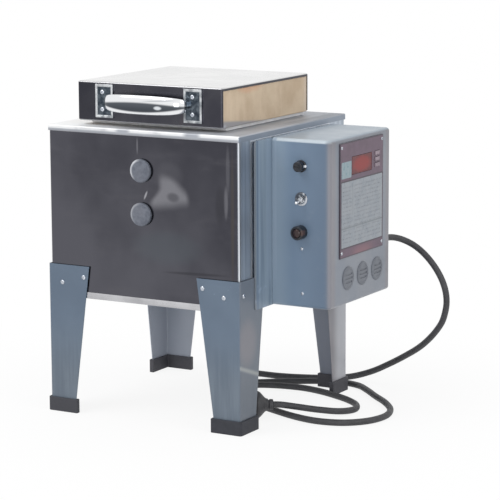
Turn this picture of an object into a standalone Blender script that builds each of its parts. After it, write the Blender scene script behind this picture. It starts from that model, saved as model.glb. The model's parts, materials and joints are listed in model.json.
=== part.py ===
"""Top loading electric kiln on four sheet metal legs, with a control box on its right side.

Metres, +Z up. The front faces -Y, and the origin lies on the floor under the middle of the kiln.
The kiln is laid out from the front face and the middle of its body, and one empty carries it all.
"""

import math

import bmesh
import bpy
from mathutils import Matrix, Vector

# clearances and shared sizes
FIT_GAP = 0.0003
CUT_OVERRUN = 0.004
ROUND_SIDES = 24
SMALL_SIDES = 16

# firebrick body in its sheet jacket
BODY_WIDTH = 0.350
BODY_DEPTH = 0.350
JACKET_SHEET = 0.001
TRAY_UNDERSIDE = 0.191
TRAY_SHEET = 0.001
TRAY_LIP = 0.0105
JACKET_HEIGHT = 0.2744
CAP_SHEET = 0.001
CAP_LIP = 0.0095
CAP_OPENING_MARGIN = 0.0018
FLOOR_BRICK = 0.0635
WALL_BRICK = 0.0635

# grooves and heating elements
ELEMENT_TOP_GAP = 0.0033
ELEMENT_MIDDLE_DROP = 0.0086
ELEMENT_LOW_GAP = 0.0205
GROOVE_SPARE = 0.0016
ELEMENT_DIAMETER = 0.009
ELEMENT_TAIL_SHARE = 0.45
ELEMENT_CORNER = 0.012
TAIL_SPACING = 0.024
TAIL_HOLE_SPARE = 0.001
TAIL_REACH = 0.018
TERMINAL_SIDE = 0.011
TERMINAL_DEPTH = 0.012
TERMINAL_BORE_SPARE = 0.00095
TERMINAL_MARGIN = 0.016
THERMOCOUPLE_DIAMETER = 0.008
THERMOCOUPLE_REACH = 0.025
THERMOCOUPLE_HEAD = 0.018
THERMOCOUPLE_HEAD_LENGTH = 0.016
THERMOCOUPLE_OFFSET = 0.060
THERMOCOUPLE_HOLE_GAP = 0.0004

# peephole plugs
PEEP_LEVELS_SHARES = (0.7046, 0.3770)
PEEP_HEAD_LAP = 0.0065
PEEP_HEAD_THICKNESS = 0.006
PEEP_STEM_DIAMETER = 0.024
PEEP_TAPER = 0.0025
PEEP_EDGE = 0.0012

# legs of bent sheet and their rubber boots
LEG_SHEET = 0.0015
LEG_LAP = 0.052
LEG_TOP_WIDTH = 0.078
LEG_FOOT_WIDTH = 0.046
BOOT_HEIGHT = 0.023
BOOT_WALL = 0.003
BOOT_SOLE = 0.003

# lid
LID_SIDE_LAP = 0.02305
LID_FRONT_LAP = 0.0418
LID_BACK_LAP = 0.0153
LID_BRICK = 0.0617
LID_SHEET = 0.001
LID_SIDE_HEM = 0.004
LID_SKIRT_RISE = 0.002
SEAT_THICKNESS = 0.0060
SEAT_BAND = 0.013

# lid hinge
HINGE_ROD_DIAMETER = 0.008
HINGE_ROD_OVERHANG = 0.007
HINGE_SETBACK = 0.016
HINGE_EAR_GAP = 0.0015
HINGE_EAR_WIDTH = 0.010
HINGE_EAR_RADIUS = 0.0085
HINGE_SIDE_INSET = 0.03325
HINGE_LEAF_LENGTH = 0.030
HINGE_LEAF_WIDTH = 0.026
HINGE_LEAF_SHEET = 0.002
HINGE_ARM_RISE = 0.040

# handle on the lid
HANDLE_SIDE_SPARE = 0.103
HANDLE_PLATE_WIDTH = 0.0325
HANDLE_PLATE_MARGIN = 0.005
HANDLE_PLATE_SHEET = 0.003
HANDLE_RISE = 0.0016
HANDLE_REACH = 0.028
HANDLE_GRIP_HEIGHT = 0.030
HANDLE_GRIP_THICKNESS = 0.010
HANDLE_NECK_SHARE = 0.62
HANDLE_END_INSET = 0.010

# control box
BOX_WIDTH = 0.1041
BOX_SETBACK = 0.0245
BOX_DEPTH = 0.207
BOX_RISE = 0.0005
BOX_DROP = 0.002
BOX_SHEET = 0.0012
BOX_CORNER = 0.004
SHIELD_REACH = 0.0545
BOSS_DIAMETER = 0.014
BOSS_SIDE_INSET = 0.030
BOSS_HIGH_INSET = 0.036
BOSS_LEG_GAP = 0.0095

# controls on the front of the box, one above another
CONTROL_INSET = 0.0508
FUSE_DROP = 0.0415
TOGGLE_DROP = 0.0931
LAMP_DROP = 0.1450
FUSE_CAP_DIAMETER = 0.016
FUSE_CAP_LENGTH = 0.010
FUSE_COLLAR_LAP = 0.00325
FUSE_COLLAR_LENGTH = 0.003
FUSE_WALL = 0.00265
FUSE_BARREL_LENGTH = 0.036
FUSE_CARRIER_DIAMETER = 0.0066
FUSE_END_GAP = 0.002
FUSE_BASE_WALL = 0.0033
TOGGLE_NUT_LAP = 0.0035
TOGGLE_NUT_THICKNESS = 0.0025
TOGGLE_BUSH_WALL = 0.00085
TOGGLE_BUSH_LENGTH = 0.008
TOGGLE_BODY_LENGTH = 0.020
TOGGLE_SWING_GAP = 0.00095
TOGGLE_LEVER_TIP = 0.0058
TOGGLE_LEVER_ROOT = 0.0032
TOGGLE_LEVER_LENGTH = 0.020
TOGGLE_TILT = 13.0
LAMP_BEZEL_DIAMETER = 0.022
LAMP_BEZEL_LENGTH = 0.016
LAMP_BEZEL_WALL = 0.0035
LAMP_LENS_PROUD = 0.0020
LAMP_LENS_SEAT = 0.010
LAMP_BEZEL_LAP = 0.00475
LAMP_BARREL_LENGTH = 0.022

# controller on the right of the box
PLATE_BACK_SETBACK = 0.0300
PLATE_VENT_GAP = 0.0155
PLATE_SETBACK = 0.0290
PLATE_DROP = 0.0075
PLATE_SHEET = 0.002
KEY_MARGIN = 0.014
DISPLAY_HEIGHT = 0.028
DISPLAY_SETBACK = 0.040
DISPLAY_DROP = 0.0245
KEY_WIDTH = 0.016
KEY_HEIGHT = 0.006
KEY_SPACING = 0.0035
KEY_PROUD = 0.0012
KEY_DEPTH = 0.006
KEY_GAP = 0.010
BOARD_SHEET = 0.0016
BOARD_MARGIN = 0.012
BOARD_HEIGHT = 0.060
BOARD_STANDOFF = 0.008
BOARD_POST_DIAMETER = 0.006
WINDOW_MARGIN = 0.003

# vents and relay
VENT_DIAMETER = 0.038
VENT_PROUD = 0.0022
VENT_RIM = 0.0035
VENT_BARREL_DEPTH = 0.006
VENT_SLOT_HEIGHT = 0.0030
VENT_SLOT_COUNT = 3
VENT_SPACING = 0.012
VENT_ROW_OFFSET = 0.007
VENT_RISE = 0.0417
VENT_SLOT_LENGTH_SHARE = 0.80
RELAY_WIDTH = 0.044
RELAY_HEIGHT = 0.058
RELAY_DEPTH = 0.026
RELAY_RISE = 0.030
RELAY_SPACING = 0.0065

# power cord
CORD_DIAMETER = 0.0105
CORD_EXIT_RISE = 0.0772
CORD_EXIT_INSET = 0.0234
RELIEF_FLANGE_DIAMETER = 0.022
RELIEF_FLANGE_THICKNESS = 0.004
RELIEF_NOSE_WALL = 0.0025
RELIEF_LENGTH = 0.020
RELIEF_FLANGE_LAP = 0.002
RELIEF_BARREL_LENGTH = 0.010
CORD_STEP_SHARE = 3.0
CORD_SIDES_RESOLUTION = 2
PLUG_LENGTH = 0.046
PLUG_DIAMETER = 0.044
PLUG_NECK_WALL = 0.0035
PLUG_FACE_THICKNESS = 0.003
BLADE_LENGTH = 0.018
BLADE_WIDTH = 0.0065
BLADE_THICKNESS = 0.0018
BLADE_SPACING = 0.0127
GROUND_PIN_DIAMETER = 0.005
GROUND_PIN_DROP = 0.0119

# places that follow from the sizes above
HALF_BODY = BODY_WIDTH / 2
TRAY_FLOOR_TOP = TRAY_UNDERSIDE + TRAY_SHEET
JACKET_BASE = TRAY_FLOOR_TOP + FIT_GAP
JACKET_TOP = JACKET_BASE + JACKET_HEIGHT
CAP_UNDERSIDE = JACKET_TOP + FIT_GAP
CAP_TOP = CAP_UNDERSIDE + CAP_SHEET
LIP_GAP = FIT_GAP
LIP_REACH = LIP_GAP + max(TRAY_SHEET, CAP_SHEET)
BRICK_INSET = JACKET_SHEET + FIT_GAP
FLOOR_TOP = JACKET_BASE + FLOOR_BRICK
WALL_BASE = FLOOR_TOP + FIT_GAP
WALL_HEIGHT = JACKET_TOP - WALL_BASE
CHAMBER_HALF_X = HALF_BODY - BRICK_INSET - WALL_BRICK
CHAMBER_FRONT = BRICK_INSET + WALL_BRICK
CHAMBER_BACK = BODY_DEPTH - CHAMBER_FRONT
MIDDLE_Y = BODY_DEPTH / 2
MOUTH_HALF_X = CHAMBER_HALF_X + CAP_OPENING_MARGIN
MOUTH_FRONT = CHAMBER_FRONT - CAP_OPENING_MARGIN
MOUTH_BACK = CHAMBER_BACK + CAP_OPENING_MARGIN
GROOVE_HEIGHT = ELEMENT_DIAMETER + 2 * FIT_GAP
GROOVE_DEPTH = ELEMENT_DIAMETER + GROOVE_SPARE
TAIL_HOLE = ELEMENT_DIAMETER + TAIL_HOLE_SPARE
TERMINAL_WIDTH = TAIL_SPACING + 2 * TERMINAL_SIDE
TERMINAL_BORE = ELEMENT_DIAMETER * ELEMENT_TAIL_SHARE + TERMINAL_BORE_SPARE
PEEP_HEIGHTS = [WALL_BASE + WALL_HEIGHT * share for share in PEEP_LEVELS_SHARES]
PEEP_HEAD_DIAMETER = PEEP_STEM_DIAMETER + 2 * PEEP_HEAD_LAP
PEEP_TIP_DIAMETER = PEEP_STEM_DIAMETER - 2 * PEEP_TAPER
PEEP_HALF_ROOM = (PEEP_STEM_DIAMETER + GROOVE_HEIGHT) / 2
ELEMENT_LEVELS = (
    PEEP_HEIGHTS[1] - PEEP_HALF_ROOM - ELEMENT_LOW_GAP,
    (PEEP_HEIGHTS[0] + PEEP_HEIGHTS[1]) / 2 - ELEMENT_MIDDLE_DROP,
    PEEP_HEIGHTS[0] + PEEP_HALF_ROOM + ELEMENT_TOP_GAP,
)
LEG_TOP = TRAY_UNDERSIDE + LEG_LAP
LEG_INNER = LIP_REACH + FIT_GAP
LEG_OUTER = LEG_INNER + LEG_SHEET
BOOT_OUTER = LEG_OUTER + FIT_GAP + BOOT_WALL
SEAT_BASE = CAP_TOP + FIT_GAP
LID_BASE = SEAT_BASE + SEAT_THICKNESS + FIT_GAP
LID_TOP = LID_BASE + LID_BRICK + FIT_GAP + LID_SHEET
LID_HALF_X = CHAMBER_HALF_X + LID_SIDE_LAP
LID_FRONT = CHAMBER_FRONT - LID_FRONT_LAP
LID_BACK = CHAMBER_BACK + LID_BACK_LAP
HINGE_Y = LID_BACK + HINGE_SETBACK
HINGE_Z = CAP_TOP + HINGE_EAR_RADIUS + HINGE_EAR_GAP
HINGE_EAR_SPREAD = LID_HALF_X - HINGE_SIDE_INSET
HINGE_ROD_LENGTH = 2 * (HINGE_EAR_SPREAD + HINGE_ROD_OVERHANG)
HANDLE_SPAN = 2 * LID_HALF_X - HANDLE_SIDE_SPARE
HANDLE_HEIGHT = (LID_BASE + LID_TOP) / 2 + HANDLE_RISE
HANDLE_PLATE_HEIGHT = LID_TOP - LID_BASE - 2 * HANDLE_PLATE_MARGIN
BOX_LEFT = HALF_BODY + LEG_OUTER + FIT_GAP
BOX_RIGHT = BOX_LEFT + BOX_WIDTH
BOX_FRONT = MIDDLE_Y + BOX_SETBACK - BOX_DEPTH / 2
BOX_BACK = BOX_FRONT + BOX_DEPTH
BOX_BASE = TRAY_UNDERSIDE + BOX_RISE
BOX_TOP = CAP_TOP - CAP_LIP - BOX_DROP
CONTROL_X = BOX_RIGHT - CONTROL_INSET
FUSE_HEIGHT = BOX_TOP - FUSE_DROP
TOGGLE_HEIGHT = BOX_TOP - TOGGLE_DROP
LAMP_HEIGHT = BOX_TOP - LAMP_DROP
FUSE_BARREL_DIAMETER = FUSE_CARRIER_DIAMETER + 2 * (FIT_GAP + FUSE_WALL)
FUSE_COLLAR_DIAMETER = FUSE_BARREL_DIAMETER + 2 * FUSE_COLLAR_LAP
FUSE_BORE_DEPTH = FUSE_BARREL_LENGTH - FUSE_BASE_WALL
FUSE_CARRIER_LENGTH = FIT_GAP + FUSE_COLLAR_LENGTH + FUSE_BORE_DEPTH - FUSE_END_GAP
TOGGLE_SWING = TOGGLE_BUSH_LENGTH * math.tan(math.radians(TOGGLE_TILT))
TOGGLE_BORE = TOGGLE_LEVER_ROOT + 2 * (TOGGLE_SWING + TOGGLE_SWING_GAP)
TOGGLE_BUSH_DIAMETER = TOGGLE_BORE + 2 * TOGGLE_BUSH_WALL
TOGGLE_NUT_WIDTH = TOGGLE_BUSH_DIAMETER + 2 * TOGGLE_NUT_LAP
LAMP_LENS_DIAMETER = LAMP_BEZEL_DIAMETER - 2 * LAMP_BEZEL_WALL
LAMP_BARREL_DIAMETER = LAMP_BEZEL_DIAMETER - 2 * LAMP_BEZEL_LAP
PLATE_FRONT = BOX_FRONT + PLATE_SETBACK
PLATE_WIDTH = BOX_DEPTH - PLATE_SETBACK - PLATE_BACK_SETBACK
PLATE_TOP = BOX_TOP - PLATE_DROP
VENT_Z = BOX_BASE + VENT_RISE
VENT_BARREL_DIAMETER = VENT_DIAMETER - 2 * VENT_RIM
VENT_PITCH = VENT_DIAMETER + VENT_SPACING
PLATE_BASE = VENT_Z + VENT_DIAMETER / 2 + PLATE_VENT_GAP
PLATE_FACE = BOX_RIGHT + FIT_GAP + PLATE_SHEET
DISPLAY_FRONT = PLATE_FRONT + DISPLAY_SETBACK
DISPLAY_WIDTH = PLATE_WIDTH - DISPLAY_SETBACK - KEY_GAP - KEY_WIDTH - KEY_MARGIN
DISPLAY_TOP = PLATE_TOP - DISPLAY_DROP
KEY_FRONT = DISPLAY_FRONT + DISPLAY_WIDTH + KEY_GAP
KEY_PITCH = KEY_HEIGHT + KEY_SPACING
BOX_INNER_RIGHT = BOX_RIGHT - BOX_SHEET
RELIEF_NOSE_DIAMETER = CORD_DIAMETER + 2 * RELIEF_NOSE_WALL
RELIEF_BARREL_DIAMETER = RELIEF_FLANGE_DIAMETER - 2 * RELIEF_FLANGE_LAP
PLUG_NECK_DIAMETER = CORD_DIAMETER + 2 * PLUG_NECK_WALL
CORD_EXIT_X = BOX_RIGHT - CORD_EXIT_INSET
CORD_EXIT_Z = BOX_BASE + CORD_EXIT_RISE

# the kiln's own middle on the floor, so that the origin lies under it
LEFT_EXTENT = HALF_BODY + BOOT_OUTER
RIGHT_EXTENT = PLATE_FACE + KEY_PROUD
ROOT_X = (LEFT_EXTENT - RIGHT_EXTENT) / 2
ROOT_Y = -MIDDLE_Y

# the cord's route, chosen by hand, from the strain relief to the plug
CORD_ROUTE = (
    (0.2604, 0.3450, 0.2682),
    (0.2642, 0.3552, 0.2668),
    (0.2708, 0.3638, 0.2641),
    (0.2797, 0.3696, 0.2600),
    (0.2910, 0.3727, 0.2543),
    (0.3035, 0.3737, 0.2464),
    (0.3158, 0.3737, 0.2364),
    (0.3277, 0.3728, 0.2246),
    (0.3386, 0.3716, 0.2110),
    (0.3475, 0.3706, 0.1955),
    (0.3527, 0.3707, 0.1785),
    (0.3530, 0.3728, 0.1605),
    (0.3480, 0.3768, 0.1415),
    (0.3385, 0.3830, 0.1230),
    (0.3170, 0.3940, 0.0985),
    (0.2900, 0.4050, 0.0752),
    (0.2580, 0.4150, 0.0545),
    (0.2240, 0.4210, 0.0350),
    (0.1900, 0.4220, 0.0180),
    (0.1550, 0.4110, 0.0074),
    (0.1180, 0.3900, 0.0056),
    (0.0750, 0.3720, 0.0056),
    (0.0400, 0.3640, 0.0056),
    (0.0120, 0.3630, 0.0056),
    (-0.0160, 0.3620, 0.0056),
    (-0.0358, 0.3567, 0.0056),
    (-0.0502, 0.3423, 0.0056),
    (-0.0555, 0.3225, 0.0056),
    (-0.0502, 0.3027, 0.0056),
    (-0.0358, 0.2883, 0.0056),
    (-0.0160, 0.2830, 0.0056),
    (0.0110, 0.2905, 0.0056),
    (0.0340, 0.3060, 0.0056),
    (0.0620, 0.3270, 0.0056),
    (0.0900, 0.3460, 0.0056),
    (0.1220, 0.3640, 0.0056),
    (0.1580, 0.3740, 0.0056),
    (0.1940, 0.3665, 0.0056),
    (0.2230, 0.3430, 0.0056),
    (0.2530, 0.3130, 0.0056),
    (0.2880, 0.2800, 0.0056),
    (0.3160, 0.2420, 0.0056),
    (0.3275, 0.2010, 0.0056),
    (0.3180, 0.1600, 0.0056),
    (0.2890, 0.1300, 0.0056),
    (0.2480, 0.1195, 0.0056),
    (0.2050, 0.1270, 0.0056),
    (0.1600, 0.1450, 0.0056),
    (0.1120, 0.1670, 0.0056),
    (0.0640, 0.1880, 0.0056),
    (0.0310, 0.2090, 0.0056),
    (0.0140, 0.2400, 0.0056),
    (0.0220, 0.2690, 0.0056),
    (0.0460, 0.2900, 0.0056),
    (0.0800, 0.3020, 0.0056),
    (0.1200, 0.3060, 0.0056),
    (0.1580, 0.2985, 0.0056),
    (0.1940, 0.2840, 0.0056),
    (0.2260, 0.2670, 0.0056),
    (0.2530, 0.2440, 0.0056),
    (0.2650, 0.2140, 0.0060),
    (0.2530, 0.1850, 0.0078),
    (0.2260, 0.1630, 0.0120),
    (0.1990, 0.1440, 0.0175),
    (0.1780, 0.1290, 0.0218),
    (0.1670, 0.1212, 0.0225),
)


def newMaterial(name, colour, roughness, metallic):
    material = bpy.data.materials.new(name)
    material.use_nodes = True
    shader = material.node_tree.nodes["Principled BSDF"]
    shader.inputs["Base Color"].default_value = (*colour, 1)
    shader.inputs["Roughness"].default_value = roughness
    shader.inputs["Metallic"].default_value = metallic
    return material


def clearScene():
    for obj in list(bpy.data.objects):
        bpy.data.objects.remove(obj)


clearScene()

kiln = bpy.data.collections.new("top_loading_kiln")
cutters = bpy.data.collections.new("cutters")
bpy.context.scene.collection.children.link(kiln)
bpy.context.scene.collection.children.link(cutters)

PAINT = ("blue grey paint", (0.13, 0.18, 0.25), 0.35, 0.2)
STEEL = ("stainless sheet", (0.55, 0.56, 0.58), 0.25, 1.0)
DARK_STEEL = ("polished dark sheet", (0.20, 0.20, 0.22), 0.20, 1.0)
BRICK = ("insulating firebrick", (0.55, 0.42, 0.30), 0.95, 0.0)
RUBBER = ("black rubber", (0.03, 0.03, 0.035), 0.7, 0.0)
CHROME = ("chrome", (0.75, 0.75, 0.76), 0.08, 1.0)
FIBRE = ("seat fibre", (0.20, 0.18, 0.16), 0.9, 0.0)
CERAMIC = ("grey ceramic", (0.22, 0.24, 0.28), 0.6, 0.0)
PORCELAIN = ("porcelain", (0.80, 0.78, 0.72), 0.4, 0.0)
WIRE = ("resistance wire", (0.20, 0.17, 0.15), 0.5, 1.0)
BLACK = ("black plastic", (0.02, 0.02, 0.022), 0.35, 0.0)
MAROON = ("maroon faceplate", (0.18, 0.12, 0.17), 0.4, 0.0)
RED = ("red window", (0.40, 0.08, 0.08), 0.2, 0.0)
KEYS = ("pale key", (0.55, 0.52, 0.55), 0.5, 0.0)
GREEN = ("circuit board", (0.03, 0.18, 0.08), 0.5, 0.0)
LAMP = ("dark red lens", (0.10, 0.01, 0.01), 0.15, 0.0)
ZINC = ("zinc plate", (0.50, 0.50, 0.52), 0.4, 1.0)
VENT = ("grey vent", (0.19, 0.20, 0.24), 0.5, 0.0)

root = bpy.data.objects.new("kiln_root", None)
root.location = (ROOT_X, ROOT_Y, 0)
kiln.objects.link(root)


def place(obj, name, group, material=None, parent=None):
    """Names an object, moves it to its group and hangs it on its parent."""
    obj.name = name
    obj.data.name = name
    for owner in list(obj.users_collection):
        owner.objects.unlink(obj)
    group.objects.link(obj)
    if material:
        obj.data.materials.clear()
        obj.data.materials.append(newMaterial(name + " " + material[0], *material[1:]))
    if group is cutters:
        obj.hide_render = True
        obj.display_type = "WIRE"
    obj.parent = parent or root
    return obj


def smooth(obj):
    obj.data.shade_smooth()
    obj.data.set_sharp_from_angle(angle=math.radians(35))


def box(name, low, high, group, material=None, bevel=0, axis=None, segments=2):
    """A box between two corners; its edges, or those along one axis, may be rounded."""
    low = Vector(low)
    high = Vector(high)
    bpy.ops.mesh.primitive_cube_add(size=1)
    obj = bpy.context.active_object
    obj.data.transform(Matrix.Diagonal((*(high - low), 1)))
    obj.location = (low + high) / 2
    if bevel:
        mesh = bmesh.new()
        mesh.from_mesh(obj.data)
        edges = list(mesh.edges)
        if axis is not None:
            edges = [e for e in edges if abs((e.verts[0].co - e.verts[1].co).normalized()[axis]) > 0.9]
        bmesh.ops.bevel(mesh, geom=edges, offset=bevel, segments=segments, profile=0.5, affect="EDGES")
        mesh.to_mesh(obj.data)
        mesh.free()
    return place(obj, name, group, material)


def cylinder(name, radius, start, end, group, material=None, sides=ROUND_SIDES, tip=None):
    """A round bar between two points, or a cone when its far end has another radius."""
    start = Vector(start)
    end = Vector(end)
    span = end - start
    far = radius if tip is None else tip
    bpy.ops.mesh.primitive_cone_add(vertices=sides, radius1=radius, radius2=far, depth=span.length)
    obj = bpy.context.active_object
    turn = Vector((0, 0, 1)).rotation_difference(span.normalized())
    obj.data.transform(turn.to_matrix().to_4x4())
    obj.location = (start + end) / 2
    smooth(obj)
    return place(obj, name, group, material)


def turned(name, profile, start, direction, group, material, sides=ROUND_SIDES):
    """A turned piece: its profile lists (radius, height) from the top of its outer side down."""
    mesh = bpy.data.meshes.new(name)
    points = [(radius, 0, height) for radius, height in profile]
    mesh.from_pydata(points, [(i, i + 1) for i in range(len(points) - 1)], [])
    obj = bpy.data.objects.new(name, mesh)
    kiln.objects.link(obj)
    screw = obj.modifiers.new("turn", "SCREW")
    screw.steps = sides
    screw.render_steps = sides
    screw.axis = "Z"
    screw.use_merge_vertices = True
    screw.merge_threshold = 0.00001
    turn = Vector((0, 0, 1)).rotation_difference(Vector(direction).normalized())
    obj.rotation_mode = "QUATERNION"
    obj.rotation_quaternion = turn
    obj.location = start
    return place(obj, name, group, material)


def cut(obj, cutter, operation="DIFFERENCE"):
    change = obj.modifiers.new(cutter.name, "BOOLEAN")
    change.operation = operation
    change.solver = "EXACT"
    change.object = cutter
    return obj


def outline(name, points, thickness, group, material=None, plane="XY", middle=(0, 0, 0)):
    """A flat outline of the given thickness, drawn in a plane of the world and centred on its middle."""
    data = bpy.data.curves.new(name, "CURVE")
    data.dimensions = "2D"
    data.fill_mode = "BOTH"
    data.extrude = thickness / 2
    line = data.splines.new("POLY")
    line.points.add(len(points) - 1)
    for point, (a, b) in zip(line.points, points):
        point.co = (a, b, 0, 1)
    line.use_cyclic_u = True
    curve = bpy.data.objects.new(name, data)
    kiln.objects.link(curve)
    if plane == "XZ":
        curve.rotation_euler = (math.radians(90), 0, 0)
    if plane == "YZ":
        curve.rotation_euler = (math.radians(90), 0, math.radians(90))
    curve.location = middle
    return asMesh(curve, name, group, material)


def asMesh(curve, name, group, material=None):
    """The solid of a curve as a mesh with its caps welded."""
    bpy.context.view_layer.update()
    evaluated = curve.evaluated_get(bpy.context.evaluated_depsgraph_get())
    mesh = bpy.data.meshes.new_from_object(evaluated)
    welded = bmesh.new()
    welded.from_mesh(mesh)
    bmesh.ops.remove_doubles(welded, verts=welded.verts, dist=0.00001)
    bmesh.ops.recalc_face_normals(welded, faces=welded.faces)
    welded.to_mesh(mesh)
    welded.free()
    obj = bpy.data.objects.new(name, mesh)
    obj.matrix_world = curve.matrix_world.copy()
    kiln.objects.link(obj)
    bpy.data.objects.remove(curve)
    return place(obj, name, group, material)


def tube(name, points, diameter, group, material, radii=None, resolution=CORD_SIDES_RESOLUTION):
    """A round bar along a line of points, with filled ends."""
    data = bpy.data.curves.new(name, "CURVE")
    data.dimensions = "3D"
    data.bevel_depth = diameter / 2
    data.bevel_resolution = resolution
    data.use_fill_caps = True
    line = data.splines.new("POLY")
    line.points.add(len(points) - 1)
    for i, point in enumerate(points):
        line.points[i].co = (*point, 1)
        line.points[i].radius = radii[i] if radii else 1
    obj = bpy.data.objects.new(name, data)
    kiln.objects.link(obj)
    return place(obj, name, group, material)


def smoothLine(points, step):
    """Points at an even step along a smooth curve through the given points."""
    knots = [Vector(p) for p in points]
    padded = [2 * knots[0] - knots[1]] + knots + [2 * knots[-1] - knots[-2]]
    fine = []
    parts = 24
    for i in range(1, len(padded) - 2):
        before, start, end, after = padded[i - 1:i + 3]
        for k in range(parts):
            t = k / parts
            fine.append(
                0.5 * (2 * start + (end - before) * t
                       + (2 * before - 5 * start + 4 * end - after) * t ** 2
                       + (3 * start - before - 3 * end + after) * t ** 3)
            )
    fine.append(knots[-1])
    along = [0.0]
    for a, b in zip(fine, fine[1:]):
        along.append(along[-1] + (b - a).length)
    count = max(2, round(along[-1] / step))
    result = []
    i = 0
    for k in range(count + 1):
        target = along[-1] * k / count
        while i < len(along) - 2 and along[i + 1] < target:
            i += 1
        share = (target - along[i]) / (along[i + 1] - along[i])
        result.append(fine[i].lerp(fine[i + 1], share))
    return result, along[-1]


# jacket panels
def buildJacket():
    front = box(
        "front_panel", (-HALF_BODY, 0, JACKET_BASE), (HALF_BODY, JACKET_SHEET, JACKET_TOP), kiln, DARK_STEEL
    )
    for i, height in enumerate(PEEP_HEIGHTS):
        hole = cylinder(
            f"cut_panel_peep_{i}", PEEP_STEM_DIAMETER / 2 + FIT_GAP, (0, -CUT_OVERRUN, height),
            (0, JACKET_SHEET + CUT_OVERRUN, height), cutters,
        )
        cut(front, hole)
    box(
        "back_panel", (-HALF_BODY, BODY_DEPTH - JACKET_SHEET, JACKET_BASE),
        (HALF_BODY, BODY_DEPTH, JACKET_TOP), kiln, DARK_STEEL,
    )
    start = JACKET_SHEET + FIT_GAP
    box(
        "left_panel", (-HALF_BODY, start, JACKET_BASE),
        (-HALF_BODY + JACKET_SHEET, BODY_DEPTH - start, JACKET_TOP), kiln, DARK_STEEL,
    )
    right = box(
        "right_panel", (HALF_BODY - JACKET_SHEET, start, JACKET_BASE),
        (HALF_BODY, BODY_DEPTH - start, JACKET_TOP), kiln, DARK_STEEL,
    )
    return right


def buildTrayAndCap():
    reach = LIP_GAP + TRAY_SHEET
    tray = box(
        "bottom_tray", (-HALF_BODY - reach, -reach, TRAY_UNDERSIDE),
        (HALF_BODY + reach, BODY_DEPTH + reach, TRAY_UNDERSIDE + TRAY_LIP), kiln, STEEL,
    )
    hollow = box(
        "cut_tray", (-HALF_BODY - LIP_GAP, -LIP_GAP, TRAY_FLOOR_TOP),
        (HALF_BODY + LIP_GAP, BODY_DEPTH + LIP_GAP, TRAY_UNDERSIDE + TRAY_LIP + CUT_OVERRUN), cutters,
    )
    cut(tray, hollow)
    reach = LIP_GAP + CAP_SHEET
    cap = box(
        "top_cap", (-HALF_BODY - reach, -reach, CAP_TOP - CAP_LIP),
        (HALF_BODY + reach, BODY_DEPTH + reach, CAP_TOP), kiln, STEEL,
    )
    hollow = box(
        "cut_cap", (-HALF_BODY - LIP_GAP, -LIP_GAP, CAP_TOP - CAP_LIP - CUT_OVERRUN),
        (HALF_BODY + LIP_GAP, BODY_DEPTH + LIP_GAP, CAP_UNDERSIDE), cutters,
    )
    mouth = box(
        "cut_mouth", (-MOUTH_HALF_X, MOUTH_FRONT, CAP_UNDERSIDE - CUT_OVERRUN),
        (MOUTH_HALF_X, MOUTH_BACK, CAP_TOP + CUT_OVERRUN), cutters,
    )
    cut(cap, hollow)
    cut(cap, mouth)
    seat = box(
        "lid_seat", (-MOUTH_HALF_X - SEAT_BAND, MOUTH_FRONT - SEAT_BAND, SEAT_BASE),
        (MOUTH_HALF_X + SEAT_BAND, MOUTH_BACK + SEAT_BAND, SEAT_BASE + SEAT_THICKNESS), kiln, FIBRE,
    )
    throat = box(
        "cut_seat", (-MOUTH_HALF_X, MOUTH_FRONT, SEAT_BASE - CUT_OVERRUN),
        (MOUTH_HALF_X, MOUTH_BACK, SEAT_BASE + SEAT_THICKNESS + CUT_OVERRUN), cutters,
    )
    cut(seat, throat)


# firebricks with the element grooves
def buildBricks():
    inner = BRICK_INSET
    half = HALF_BODY - inner
    box(
        "floor_brick", (-half, inner, JACKET_BASE), (half, BODY_DEPTH - inner, FLOOR_TOP), kiln, BRICK,
    )
    front = box("front_brick", (-half, inner, WALL_BASE), (half, CHAMBER_FRONT, JACKET_TOP), kiln, BRICK)
    back = box(
        "back_brick", (-half, CHAMBER_BACK, WALL_BASE), (half, BODY_DEPTH - inner, JACKET_TOP), kiln, BRICK,
    )
    start = CHAMBER_FRONT + FIT_GAP
    end = CHAMBER_BACK - FIT_GAP
    left = box("left_brick", (-half, start, WALL_BASE), (-CHAMBER_HALF_X, end, JACKET_TOP), kiln, BRICK)
    right = box("right_brick", (CHAMBER_HALF_X, start, WALL_BASE), (half, end, JACKET_TOP), kiln, BRICK)
    for i, level in enumerate(ELEMENT_LEVELS):
        groove = box(
            f"cut_groove_{i}",
            (-CHAMBER_HALF_X - GROOVE_DEPTH, CHAMBER_FRONT - GROOVE_DEPTH, level - GROOVE_HEIGHT / 2),
            (CHAMBER_HALF_X + GROOVE_DEPTH, CHAMBER_BACK + GROOVE_DEPTH, level + GROOVE_HEIGHT / 2), cutters,
        )
        for wall in (front, back, left, right):
            cut(wall, groove)
    for i, height in enumerate(PEEP_HEIGHTS):
        hole = cylinder(
            f"cut_brick_peep_{i}", PEEP_STEM_DIAMETER / 2 + FIT_GAP, (0, 0, height),
            (0, CHAMBER_FRONT + CUT_OVERRUN, height), cutters,
            tip=PEEP_TIP_DIAMETER / 2 + FIT_GAP,
        )
        cut(front, hole)
    return right


def tailPlaces():
    """The two tails of each heating element, as (y, z) on the right wall."""
    places = []
    for level in ELEMENT_LEVELS:
        for side in (-1, 1):
            places.append((MIDDLE_Y + side * TAIL_SPACING / 2, level))
    return places


def thermocouplePlace():
    return MIDDLE_Y + THERMOCOUPLE_OFFSET, (ELEMENT_LEVELS[1] + ELEMENT_LEVELS[2]) / 2


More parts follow.
